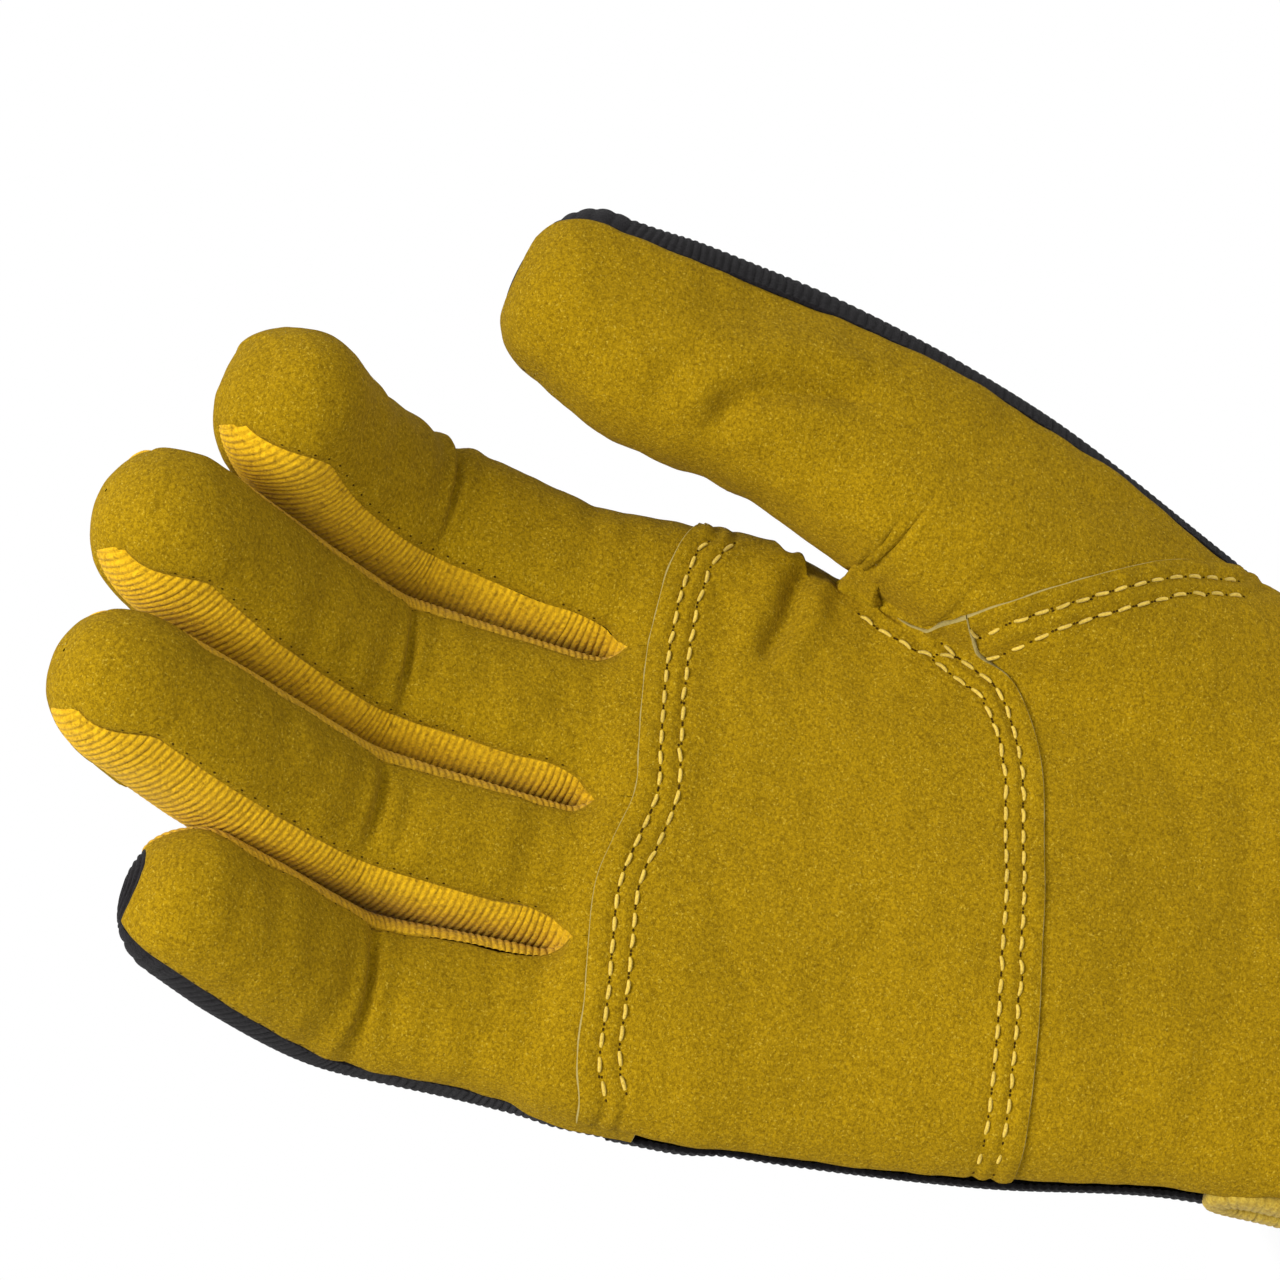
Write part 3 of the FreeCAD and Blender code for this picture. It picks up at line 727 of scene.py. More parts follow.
def front_creases(name, p, n, s):
    """Soft folds across the front of a stall, where it bends. s is how far up it each row is."""
    first, second = folds_at(name)
    across = np.linspace(-1, 1, p.shape[1])[None, :]
    total = np.zeros(p.shape[:2])
    r = np.random.default_rng(sum(map(ord, name)))
    for at, deep, width in ((second, 1.0, 2.0), (second - 6.5, 0.45, 2.0), (second + 7, 0.4, 2.2),
                            (second + 24, 0.35, 2.4), (first + 6, 0.3, 2.2)):
        bow, tilt, reach = r.uniform(-2, 2), r.uniform(-2, 2), r.uniform(0.7, 1.0)
        d = s[:, None] - (at + bow * across ** 2 + tilt * across)
        fade = np.exp(-(np.abs(across) / reach) ** 4 * 0.9)
        total += fade * deep * (0.45 * bumps(np.abs(d) - 2.2 * width, width) - bumps(d, width))
    return raised(p, n, total)


def parts(z_rows, root=169.0):
    """Row ranges of the palm part, the lower part and the upper part of a stall."""
    a, b = int(np.argmax(z_rows > root)), int(np.argmax(z_rows > SPLIT))
    return slice(0, a + 1), slice(a, b + 1), slice(b, None)


def stall_piece(m, name, part, slot, nodes, extra=()):
    """A piece of a stall, tied to the part that follows the knuckle or the fold."""
    knuckle, fold = joints_of(name)
    if part == "lower":
        bend = "hand", knuckle - 8 * Z, knuckle + 10 * Z
    else:
        lean = math.radians((FINGERS[name][LEAN] + FINGERS[name][END_LEAN]) / 2)
        way = np.array([0, -math.sin(lean), math.cos(lean)])
        bend = f"{name}_lower", fold - 9 * way, fold + 9 * way
    placed(m, slot, nodes, f"{name}_{part}", bend, extra)


def stall_panel(name, part, kind, panel, rows, slot, sides, more_nodes=(), holes=""):
    """One part of a long panel as a piece of its own."""
    p, n, shade = part_of(panel, rows)
    m = Mesh(f"{name}_{part}_{kind}")
    if slot == "suede":
        m.sheet(p, n, SUEDE_THICK, sides, raw=0.0)
    else:
        m.sheet(p, n, KNIT_THICK, sides, KNIT_SKIP, shade)
    # dark dots: painted shade in the needle holes along these edges
    for side in holes:
        column = 2 if side == "w" else -3
        edge = p[:, column]
        place, ahead = paced(edge, 2.9)
        near = np.argmin(((place[:, None] - edge[None]) ** 2).sum(-1), 1)
        clear = place[:, 2] > CROTCH + 6
        clear[-3:] = False
        m.dots(place[clear], n[:, column][near][clear], ahead[clear], 0.26)
    stall_piece(m, name, part, slot, [m.name, *more_nodes], [NEEDLE_HOLE_SHADE])


FRONT_ROOTS, BACK_ROOTS = [], []        # the panels' rows inside the palm


def make_finger(name):
    index, tip = finger_rows(name)
    middle = CHAINS[name].at(index)[:, :3]
    up_stall = index * CHAINS[name].step
    past_fold = (up_stall - folds_at(name)[1]) / FINGERS[name][LENGTH]
    low, high = GAPS[name]
    ends = int(np.argmax(tip > math.radians(TIP_END + 0.1)))
    reach = (EDGE + TIP_WIDEN * ease(tip, 0, math.radians(54)))[:ends]
    front, way = fan(name, index[:ends], tip[:ends], WRAP[name] if low is None else -reach,
                     WRAP[name] if high is None else reach, 41 if name == "index" else 29)
    back_left = 360 - (abs(WRAP[name]) if low is None else BACK_EDGE)
    back_right = WRAP[name] if high is None else BACK_EDGE
    back, back_way = fan(name, index, tip, back_right, back_left, 25, behind=True)

    # front: suede
    p, n, w = leather(front, way, FRONT_LIFT)
    p = front_creases(name, p, n, finer_rows((index + tip * 6)[:ends], 2) * CHAINS[name].step)
    z_rows = finer_rows(middle[:ends, 2], 2)
    p = turned(p, n, "wen", fade=ease(z_rows, CROTCH, CROTCH + 5))
    panel = p, grid_normals(p, w), 0.0
    root, lower, upper = parts(z_rows)
    FRONT_ROOTS.append(part_of(panel, root))
    stall_panel(name, "lower", "front", panel, lower, "suede", "we", [f"{name}_base_crease"], HOLES[name])
    stall_panel(name, "upper", "front", panel, upper, "suede", "wen", [f"{name}_mid_crease"], HOLES[name])

    # back: black ribbed cloth up to the tip cap
    last = len(index) if name == "little" else int(np.argmax(past_fold > BACK_END)) + 1
    panel = knitted(back[:last], back_way[:last])
    root, lower, upper = parts(finer_rows(middle[:last, 2], 5))
    BACK_ROOTS.append(part_of(panel, root))
    stall_panel(name, "lower", "back", panel, lower, "back_rib", "we")
    m = Mesh(f"{name}_upper_back")
    p, n, shade = part_of(panel, upper)
    m.sheet(p, n, KNIT_THICK, "wen", KNIT_SKIP, shade)
    round_tip = slice(ends - 3, None)
    dome, dome_way = fan(name, index[round_tip], tip[round_tip], -180, 180, 73)
    if name == "little":
        p, n, shade = knitted(dome, dome_way)
        m.sheet(p, n, KNIT_THICK, "s", KNIT_SKIP, shade, 0.0)
    stall_piece(m, name, "upper", "back_rib", [m.name])

    # tip cap: suede round the sides and back of the tip
    if name != "little":
        m = Mesh(f"{name}_tip_cap")
        rows = slice(int(np.argmax(past_fold > CAP_START)), ends)
        cap, cap_way = fan(name, index[rows], tip[rows], WRAP.get(name, BACK_EDGE - 4),
                           360 - BACK_EDGE + 4, 33, behind=True)
        for grid, way, sides, lift in ((cap, cap_way, "swe", 0.9), (dome, dome_way, "s", 0.45)):
            taper = np.linspace(lift, 0.4, 2 * len(grid) - 1)[:, None, None]
            p, n, w = leather(grid, way, taper, 21)
            p = turned(p, n, sides, 1.5, 0.5)
            m.sheet(p, grid_normals(p, w), SUEDE_THICK, sides, raw=0.0)
        stall_piece(m, name, "upper", "suede", [m.name])

    # side strips: bright ribbed knit
    rows = slice(int(np.argmax(middle[:, 2] > STRIP_ROOT)), ends)
    sides = [("radial", -1, 0)] * (high is not None) + [("ulnar", 0, -1)] * (low is not None)
    for label, from_front, to_back in sides:
        grid, way = between(name, index[rows], tip[rows], front[rows, from_front], back[rows, to_back], 21)
        p, w = finer(grid, 6, 1), finer(way, 6, 1)
        roll = 1 - np.abs(np.linspace(-1, 1, p.shape[1])) ** 2.6
        p = p + grid_normals(p, w) * (0.75 * roll - 0.05)[None, :, None]
        n = grid_normals(p, w)
        p, shade = ribs(p, n, 1.25, 0.34, 9)
        p = turned(p, n, "n", 2.2, 0.9)
        panel = p, grid_normals(p, w), shade
        _, lower, upper = parts(finer_rows(middle[rows, 2], 6), 0)
        for part, keep in (("lower", lower), ("upper", upper)):
            stall_panel(name, part, f"fourchette_{label}", panel, keep, "fourchette_knit", "we")


for finger in FINGERS:
    make_finger(finger)


# ------------------------------------------------------------ palm and back

FAN_REACH = 0.8                 # of the palm's half width, where the outer lines start
FAN_TURN = 105.0                # how far the outermost lines turn
MOUND_REACH = 68.0              # the same start beside the thumb's base
ULNAR_Q, RADIAL_Q = -0.945, 0.99
HEEL_BOTTOM = 7.0
SLIT_TOP = 52.0
SLIT_FRONT_Q, SLIT_BACK_Q = -0.905, -0.885
Q_SIZE = 50.0                   # millimetres for one step of q, when points are spaced

# Lines on the palm side as X and Z, from the little finger's side to the thumb's.
TOP_SEAM = [(-54.8, 163.5), (-49.6, 165.8), (-38, 167), (-28, 168), (-18, 168.6), (-11, 167.2),
            (-1.6, 165.2), (7, 166.2), (18, 167.2), (30, 167.3), (40, 166.7), (46.6, 164.9), (50.5, 162.5)]
LOW_SEAM = [(-50, 91.3), (-37, 92.5), (-24, 93.5), (-11, 94.8), (3, 96.4), (17.5, 98.6), (26, 101.5),
            (33.6, 106), (37.1, 112), (39.6, 116.3)]
THUMB_SEAM = [(63, 70), (58, 83), (52.7, 92), (46.7, 102), (42.1, 110.4), (39.8, 116.3), (40, 124),
              (43, 129.5), (45.6, 134.5), (46.8, 139)]
WEB_ROW = [(40, 133), (37, 127.5), (34.6, 121), (35, 115)]
# Line on the back.
THUMB_BACK_SEAM = [(60, 60), (55, 80), (50, 100), (47, 120), (47.5, 138)]
# Soft folds in the palm's leather: points as X and Z, depth, width.
PALM_FOLDS = [
    ([(49, 141), (43.5, 144), (35, 145.5), (26, 149)], 1.8, 1.9),
    ([(40, 158), (30, 156), (20, 157)], 0.6, 2.4),
    ([(40, 131), (30, 129), (20, 130)], 0.4, 2.4),
    ([(24, 156), (10, 153), (-6, 155)], 0.4, 3.0),
    ([(-46, 140), (-30, 143), (-14, 150)], 0.4, 3.0),
    ([(-44, 122), (-26, 124), (-8, 121)], 0.35, 3.0),
    ([(-40, 78), (-18, 80), (6, 77)], 0.35, 3.0),
    ([(30, 80), (14, 72), (-4, 68)], 0.4, 3.0),
    ([(-38, 66), (-10, 61), (24, 63)], 0.6, 3.2),
]
ROW_ONE, ROW_TWO, PITCH = 3.4, 6.6, 3.8     # the sewn rows' distances from a seam, and a stitch
LINE_POINTS = 160


def palm_rays(q, z, behind=False):
    """Lines out of the palm: q runs from -1, past the ulnar edge, to 1, past the radial edge."""
    angle = np.radians(np.sign(q) * np.abs(q) ** 4 * FAN_TURN)
    reach = FAN_REACH * palm_at(z, WIDE)
    if not behind:
        # beside the thumb's base the lines stay parallel
        level = np.where(q > 0, ease(z, 56, 68) * ease(z, 150, 144), 0)
        angle = angle * (1 - level)
        reach = reach + (MOUND_REACH - reach) * level
    origin = np.stack([palm_at(z, MIDDLE) + reach * q, np.zeros_like(q), z], -1)
    y = np.cos(angle) * (1 if behind else -1)
    return origin, np.stack([np.sin(angle), y, np.zeros_like(q)], -1)


def line_q(points, behind=False):
    """A smooth line on the palm's front or back, given as X and Z, as q and Z."""
    x, z = through(points, 60).T
    q = np.linspace(-0.98, 0.98, 99)
    shape = len(x), len(q)
    hit = cast(whole_field, *palm_rays(np.broadcast_to(q, shape), np.broadcast_to(z[:, None], shape), behind))
    return np.column_stack([[np.interp(a, h[:, 0], q) for a, h in zip(x, hit)], z])


def coons(bottom, top, left, right, rows, columns):
    """A grid of q and Z between four edge lines."""
    def sample(line, count):
        t = measured(line * (Q_SIZE, 1))
        return sampled(line, t, np.linspace(0, t[-1], count))
    b, t, l, r = sample(bottom, columns), sample(top, columns), sample(left, rows), sample(right, rows)
    u, v = np.linspace(0, 1, columns)[None, :, None], np.linspace(0, 1, rows)[:, None, None]
    return ((1 - v) * b[None] + v * t[None] + (1 - u) * l[:, None] + u * r[:, None]
            - ((1 - u) * (1 - v) * b[0] + u * (1 - v) * b[-1] + (1 - u) * v * t[0] + u * v * t[-1]))


def straight(a, b, count=40):
    u = np.linspace(0, 1, count)[:, None]
    return (1 - u) * np.array(a) + u * np.array(b)


def slit_edge(z, edge_q):
    """q of a panel's ulnar edge, which stands back from the slit below its end."""
    opening = np.sqrt(np.clip((SLIT_TOP - z) / 4, 0, 1))
    return ULNAR_Q + (edge_q - ULNAR_Q) * opening


def fold_relief(p, n, folds):
    """Folds along lines given as X and Z: a groove with a soft swell on both sides."""
    flat = p[..., [0, 2]].reshape(-1, 2)
    total = np.zeros(len(flat))
    for points, deep, width in folds:
        line = through(points, 24)
        d, along = line_distance(flat, line)
        fade = ease(along, -0.1, 5) * ease(measured(line)[-1] - along, -0.1, 5) * 0.85 + 0.15
        total += deep * fade * (0.55 * bumps(d - 2.4 * width, 1.3 * width)
                                + 0.3 * bumps(d + 2.4 * width, 1.3 * width) - bumps(d, width))
    return raised(p, n, total)


def seam_relief(p, n, lines):
    """Leather pulled in along the stitch rows and puckered between the stitches."""
    flat = p[..., [0, 2]].reshape(-1, 2)
    total = np.zeros(len(flat))
    for line, sign in lines:
        d, along = line_distance(flat, line)
        d = d * sign
        for row in (ROW_ONE, ROW_TWO):
            total -= 0.38 * bumps(d - row, 0.75) * (0.75 + 0.25 * np.cos(TURN * along / PITCH))
        total += 0.22 * bumps(d - (ROW_ONE + ROW_TWO) / 2, 0.9)
        total += 0.25 * bumps(d - 1.4, 1.2) * (1 + 0.8 * np.sin(along * 0.9 + 1.3 * np.sin(along * 0.23)))
    return raised(p, n, total)


def palm_leather(edges, rows, lift, seams):
    """A palm panel between four edge lines, with its folds and seams."""
    q, z = np.moveaxis(coons(*edges, rows, 105), -1, 0)
    origin, way = palm_rays(q, z)
    p, n, w = leather(cast(whole_field, origin, way), way, lift)
    return seam_relief(fold_relief(p, n, PALM_FOLDS), n, seams), n, w


def fork_side(first, last):
    """The palm's own side inside the fork of the thumb, between two angles from the front."""
    z, turn = np.meshgrid(np.linspace(112, 160, 49), np.radians(np.linspace(first, last, 41)), indexing="ij")
    way = spokes(turn, -Y, X)
    return cast(hand_field, np.stack([palm_at(z, MIDDLE) + 36, 0 * z, z], -1), way), way


TOP_LINE, LOW_LINE = through(TOP_SEAM, LINE_POINTS), through(LOW_SEAM, LINE_POINTS)
thumb_line = through(THUMB_SEAM, LINE_POINTS)
HEEL_LINE = thumb_line[thumb_line[:, 1] < LOW_SEAM[-1][1]]

top_q, low_q, seam_q = line_q(TOP_SEAM), line_q(LOW_SEAM), line_q(THUMB_SEAM)
top_q[0, 0] = low_q[0, 0] = ULNAR_Q
top_q = np.vstack([top_q, [[RADIAL_Q, 161.0]]])
corner = seam_q[np.argmin(np.abs(seam_q[:, 1] - low_q[-1, 1]))]
low_q[-1] = corner
upper_seam = seam_q[seam_q[:, 1] >= corner[1] - 0.3]
lower_seam = seam_q[seam_q[:, 1] <= corner[1] + 0.3]
patch_right = np.vstack([upper_seam, [[0.72, 143], [0.8, 146], [0.91, 149], [0.96, 152], [RADIAL_Q, 158]],
                         top_q[-1:]])
heel_right = np.vstack([straight((0.93, HEEL_BOTTOM), (0.94, 40), 10),
                        straight((0.94, 42), lower_seam[0], 10), lower_seam[1:]])
heel_bottom = straight((SLIT_FRONT_Q, HEEL_BOTTOM), (0.93, HEEL_BOTTOM))
z = np.linspace(HEEL_BOTTOM, low_q[0, 1], 120)
heel_left = np.column_stack([slit_edge(z, SLIT_FRONT_Q), z])

# front panel: the stalls' roots under the palm patch
m = Mesh("front_panel")
for p, n, _ in FRONT_ROOTS:
    m.sheet(p, n, SUEDE_THICK, "s")
placed(m, "suede", ["front_panel"])

# palm patch, whose cut top edge lies on the front panel
p, n, w = palm_leather((low_q, top_q, straight(low_q[0], top_q[0]), patch_right), 76, PATCH_LIFT,
                       [(TOP_LINE, -1), (LOW_LINE, 1)])
p = turned(p, n, "w", 3.0, 1.6)
p = turned(p, n, "e", 3.5, 1.9, ease(p[:, -1, 2], 124, 130))
PATCH = p, grid_normals(p, w)
m = Mesh("palm_patch")
m.sheet(*PATCH, PALM_THICK)
grid, way = fork_side(35, 93)
p, n, w = leather(grid, way, -0.2)
m.sheet(p, grid_normals(p, w), 0.8, "")
placed(m, "suede", ["palm_patch"])

# heel panel, under the patch's lower edge and over the thumb's base
p, n, w = palm_leather((heel_bottom, low_q, heel_left, heel_right), 92, HEEL_LIFT, [(HEEL_LINE, 1)])
p = turned(p, n, "w", 3.0, 1.2)
HEEL = p, grid_normals(p, w)
m = Mesh("heel_panel")
m.sheet(*HEEL, PALM_THICK)
placed(m, "suede", ["heel_panel"])

# back panel
BACK_TOP = 157.5
back_seam_q = line_q(THUMB_BACK_SEAM, behind=True)
z = np.linspace(HEEL_BOTTOM, BACK_TOP, 104)
right_q = np.interp(z, back_seam_q[:, 1], back_seam_q[:, 0])
right_q = right_q + (0.995 - right_q) * ease(z, 74, 60)
right_q = right_q + (0.94 - right_q) * ease(z, 147, 152)
u = np.linspace(0, 1, 85)[None, :]
q = slit_edge(z, SLIT_BACK_Q)[:, None] * (1 - u) + right_q[:, None] * u
origin, way = palm_rays(q, np.broadcast_to(z[:, None], q.shape), behind=True)
ulnar_lift = (0.7 * ease(-q[0], 0.7, 0.9))[None, :, None]
m = Mesh("back_panel")
p, n, shade = knitted(cast(whole_field, origin, way), way, ulnar_lift)
m.sheet(p, n, KNIT_THICK, "sew", (8, 3), shade)
p, n, shade = knitted(*fork_side(88, 150), -0.3)
m.sheet(p, n, KNIT_THICK, "", (8, 3), shade)
for p, n, shade in BACK_ROOTS:
    m.sheet(p, n, KNIT_THICK, "", KNIT_SKIP, shade)
placed(m, "back_rib", ["back_panel"])


# ------------------------------------------------------------ thumb

THUMB_OUT = [(0, 62), (30, 54), (60, 48), (80, 42), (99, 38)]   # row on the thumb, angle of its outer seam
THUMB_IN = -118.0               # angle of its inner seams above the fork
THUMB_TIP_TURN = 60.0           # where the front ends on the round tip
THUMB_TILT = 38.0
THUMB_FIRST = 20                # lowest row that is made
THUMB_CUT = WEB - 3             # between base and moving part
FOLD = np.array([74.0, -25.2, 153.0])
FOLD_WAY = np.array([0.156, -0.105, 0.982])
THUMB_FOLDS = [
    ([(55, 166), (58.5, 165), (62.3, 161.5), (66.6, 151), (68.6, 139)], 1.9, 2.2),
    ([(68.6, 172), (73, 158), (77.4, 145)], -0.9, 3.8),
    ([(56, 178), (62, 175), (68, 175)], 0.5, 2.2),
    ([(60, 188), (68, 184), (77, 184)], 0.35, 2.6),
    ([(58, 128), (66, 118), (76, 112)], 0.4, 3.0),
    ([(62, 104), (66, 92), (67, 82)], 0.4, 2.4),
]


def seam_turns(seam, behind):
    """Angle round the thumb's line of a seam on the palm, for each row. Above the seam's end it
    eases to the inner seams' angle."""
    hit = cast(whole_field, *palm_rays(seam[:, 0], seam[:, 1], behind))
    turns = {}
    for k, row in enumerate(THUMB.rows):
        ahead = (hit - row[:3]) @ row[3:6]
        order = np.argsort(ahead)
        if ahead[order[0]] > 0 or ahead[order[-1]] < 0:
            continue
        at = np.array([np.interp(0, ahead[order], hit[order, axis]) for axis in range(3)]) - row[:3]
        turns[k] = math.degrees(math.atan2(at @ row[6:9], at @ row[9:12]))
    k = np.arange(len(THUMB.rows))
    out = np.interp(k, list(turns), list(turns.values()))
    return out + (THUMB_IN - out) * ease(k, max(turns), max(turns) + 14)


def thumb_grid(index, tip, left, right, columns):
    """Grid of the thumb's front or back between two seams' angles."""
    middle, ahead, side, face = THUMB.axes(index)
    u = np.linspace(0, 1, columns)[None, :]
    radial = spokes(np.radians(left[:, None] * (1 - u) + right[:, None] * u), face, side)
    way = tilted(radial, ahead, face, tip, THUMB_TILT)
    far, own = (np.linalg.norm(cast(field, middle, way, THUMB_REACH) - middle, axis=-1, keepdims=True)
                for field in (thumb_field, THUMB))
    return middle + unit(way) * np.minimum(far, own + 3), way


def thumb_piece(name, sheets, slot, nodes, sides, body="hand"):
    m = Mesh(name)
    thick, skip = (SUEDE_THICK, SUEDE_SKIP) if slot == "suede" else (KNIT_THICK, KNIT_SKIP)
    for p, n, shade in sheets:
        m.sheet(p, n, thick, sides, skip, shade, 0.0)
    bend = ("hand", FOLD - 11 * FOLD_WAY, FOLD + 9 * FOLD_WAY) if body == "thumb" else None
    placed(m, slot, nodes, body, bend)


rows = np.r_[np.arange(THUMB_FIRST, THUMB.last), THUMB.last]
tip = np.radians(np.linspace(0, 89, 17))[1:]
index = np.r_[rows, np.full(len(tip), float(THUMB.last))]
tip = np.r_[np.zeros(len(rows)), tip]
past_corner = ease(THUMB.rows[:, 2], 108, 120)
back_turn = seam_turns(back_seam_q, True)
front_turn = seam_turns(seam_q, False) - 4 - 6 * past_corner
back_turn = np.where(back_turn > 0, back_turn - 360, back_turn) + 5 + 8 * past_corner
out_turn = np.interp(index, *np.array(THUMB_OUT).T)
k = index.astype(int)
front, front_way = thumb_grid(index, tip, front_turn[k], out_turn, 37)
back, back_way = thumb_grid(index, tip, out_turn, back_turn[k] + 360, 33)
z = THUMB.at(index)[:, 2]

# front: suede, and the thumb's own side closed inside the fork
shown = tip <= math.radians(THUMB_TIP_TURN) + 1e-3
p, n, w = leather(front[shown], front_way[shown], FRONT_LIFT)
p = turned(fold_relief(p, n, THUMB_FOLDS), n, "en", 1.8, 0.6)
panel = p, grid_normals(p, w), 0.0
cut = int(np.argmax(finer_rows(z[shown], 2) > THUMB_CUT))
inside = (z > 104) & (tip == 0)
middle, _, side, face = THUMB.axes(index[inside])
way = spokes(np.radians(np.linspace(-62, -150, 41))[None, :], face, side)
p, n, w = leather(cast(THUMB, middle, way, THUMB_REACH), way, -0.9)
tube = p, grid_normals(p, w), 0.0
tube_cut = int(np.argmax(finer_rows(z[inside], 2) > THUMB_CUT))
thumb_piece("thumb_base_front", [part_of(panel, slice(cut + 1)), part_of(tube, slice(tube_cut + 1))], "suede",
            ["thumb_base_front"], "swe")
thumb_piece("thumb_front", [part_of(panel, slice(cut, None)), part_of(tube, slice(tube_cut, None))], "suede",
            ["thumb_front", "thumb_crease"], "nwe", "thumb")

# back: black ribbed cloth, also over the round tip
panel = knitted(back, back_way)
cut = int(np.argmax(finer_rows(z, 5) > THUMB_CUT))
over = tip >= math.radians(THUMB_TIP_TURN) - 0.1
thumb_piece("thumb_base_back", [part_of(panel, slice(cut + 1))], "back_rib", ["thumb_base_back"], "swe")
thumb_piece("thumb_back", [part_of(panel, slice(cut, None)), knitted(front[over], front_way[over])],
            "back_rib", ["thumb_back"], "we", "thumb")


# ------------------------------------------------------------ cuff and strap

SLIT_HALF, SLIT_MIDDLE = math.radians(9.5), math.radians(-92.0)
LINING_TOP = 57.0
BAND_PITCH, BAND_DEPTH, BAND_POWER = 1.3, 0.3, 3.0
STRAP_LOW, STRAP_HIGH, STRAP_ROOT = 12.0, 36.0, -31.7


def cuff_point(angle, z, lift):
    """Points and normals round the palm, at angles from the palm side towards the thumb."""
    angle, z = np.broadcast_arrays(angle, z)
    shape = angle.shape + (3,)
    angle, z = angle.ravel(), z.ravel()
    way = spokes(angle, -Y, X)
    origin = np.stack([palm_at(z, MIDDLE) + 0.6 * palm_at(z, WIDE) * np.sin(angle), 0 * angle, z], -1)
    hit = cast(palm_field, origin, way)
    e = 0.2
    normal = unit(np.stack([palm_field(hit + e * a) - palm_field(hit - e * a) for a in (X, Y, Z)], -1))
    return (hit + normal * lift).reshape(shape), normal.reshape(shape)


def binding(name, angle, z, lift, width, thick):
    """A folded knit band along a line on the cuff."""
    path, normal = cuff_point(angle, z, lift)
    t = measured(path)
    at = np.linspace(0, t[-1], int(t[-1] / 0.3))
    c, n = sampled(path, t, at)[:, None], unit(sampled(normal, t, at))[:, None]
    across = unit(np.cross(np.gradient(c, axis=0), n))
    turn = np.linspace(0, TURN, 19)
    cos, sin = np.cos(turn)[None, :, None], np.sin(turn)[None, :, None]
    a = np.sign(cos) * np.abs(cos) ** (2 / BAND_POWER) * width / 2
    b = np.sign(sin) * np.abs(sin) ** (2 / BAND_POWER) * thick / 2
    out = unit(cos * across / width + sin * n / thick)
    height = np.sqrt(np.clip(np.sin(math.pi * np.mod(at / BAND_PITCH, 1)), 0, 1))[:, None, None]
    p = c + a * across + b * n + out * ((height - 0.5) * BAND_DEPTH)
    m = Mesh(name)
    flip = np.cross(p[1, 0] - p[0, 0], p[0, 1] - p[0, 0]) @ out[0, 0] < 0
    # painted shade between the band's ribs; its two ends are painted a little darker too
    m.grid(p, out, flip, 0.45 * np.broadcast_to(1 - height[..., 0], p.shape[:2]))
    for end, inner in ((0, 1), (-1, -2)):
        centre = p[end].mean(0)
        outward = unit(centre - p[inner].mean(0))
        ends = np.stack([p[end], np.broadcast_to(centre, p[end].shape)])
        m.grid(ends, np.broadcast_to(outward, ends.shape), False, 0.3)
    placed(m, "binding_knit", [name])


def strap_grid(x0, x1, z0, z1, lift, rows, columns, corner):
    """A flat strap over the back, with rounded corners at its free end."""
    u, v = np.meshgrid(np.linspace(0, 1, columns), np.linspace(-1, 1, rows))
    x = x0 + (x1 - x0) * u
    back = np.clip((x - (x1 - corner)) / corner, 0, 1)
    squeeze = 1 - (1 - np.sqrt(1 - 0.98 * back ** 2)) * 2 * corner / (z1 - z0)
    z = (z0 + z1) / 2 + v * squeeze * (z1 - z0) / 2
    p = cast(palm_field, np.stack([x, np.zeros_like(x), z], -1), Y)
    n = grid_normals(p, Y)
    return p + n * lift, n


def edge_stitches(m, p, n, inset, pitch=3.0, which="nswe"):
    """A row of stitches inside a grid's edges."""
    rows = int(inset / np.linalg.norm(p[1, 0] - p[0, 0]))
    columns = int(inset / np.linalg.norm(p[0, 1] - p[0, 0]))
    lines = {"s": (rows, slice(columns, -columns)), "n": (-1 - rows, slice(columns, -columns)),
             "w": (slice(rows, -rows), columns), "e": (slice(rows, -rows), -1 - columns)}
    for key in which:
        line, normal = p[lines[key]], n[lines[key]]
        place, ahead = paced(line, pitch)
        near = np.argmin(((place[:, None] - line[None]) ** 2).sum(-1), 1)
        m.stitches(place + normal[near] * 0.1, normal[near], ahead, pitch * 0.78, 0.32, 1)


around = SLIT_MIDDLE + SLIT_HALF, SLIT_MIDDLE + TURN - SLIT_HALF
binding("cuff_binding", np.linspace(*around, 260), 3.6, 0.1, 7.0, 3.4)

rise = np.linspace(0.5, SLIT_TOP - 3, 40)
bow = np.radians(np.linspace(0, 180, 30))[1:-1]
reach = SLIT_HALF * 1.02
angle = SLIT_MIDDLE + reach * np.r_[np.ones(len(rise)), np.cos(bow), -np.ones(len(rise))]
binding("slit_binding", angle, np.r_[rise, SLIT_TOP - 3 + 6.0 * np.sin(bow), rise[::-1]], 0.5, 4.6, 2.9)

z = np.linspace(2, LINING_TOP, 190)[:, None]
opposite = SLIT_MIDDLE + math.pi
angle = opposite + (np.linspace(*around, 150)[None, :] - opposite) * (1 + 0.053 * (z > SLIT_TOP + 1))
p, n = cuff_point(angle, z, -1.9)
p, shade = ribs(p, n, 1.5, 0.25, 31, 1)
m = Mesh("cuff_lining")
m.sheet(p, n, 0.9, "nswe", (6, 3), shade)
placed(m, "lining_knit", ["cuff_lining"])

angle = np.radians(180 + np.linspace(-62, 62, 220))[None, :]
p, n = cuff_point(angle, np.linspace(38, 46, 24)[:, None], -3.1)
p, shade = ribs(p, n, 2.4, 0.5, 35, 1)
m = Mesh("wrist_elastic")
m.sheet(p, n, 1.0, "nswe", (4, 3), shade)
placed(m, "elastic", ["wrist_elastic"])

p, n = strap_grid(STRAP_ROOT + 0.3, 15.8, STRAP_LOW, STRAP_HIGH, 4.0, 60, 150, 6.0)
p, shade = ribs(p, n, 1.15, 0.22, 41, 1, 0.4)
n = grid_normals(p, Y)
m = Mesh("closure_strap")
m.sheet(p, n, 1.7, "nswe", rim=shade)
edge_stitches(m, p, n, 2.0)
edge_stitches(m, p, n, 4.4, which="we")
placed(m, "strap_webbing", ["closure_strap"], "strap", extra=[THREAD])

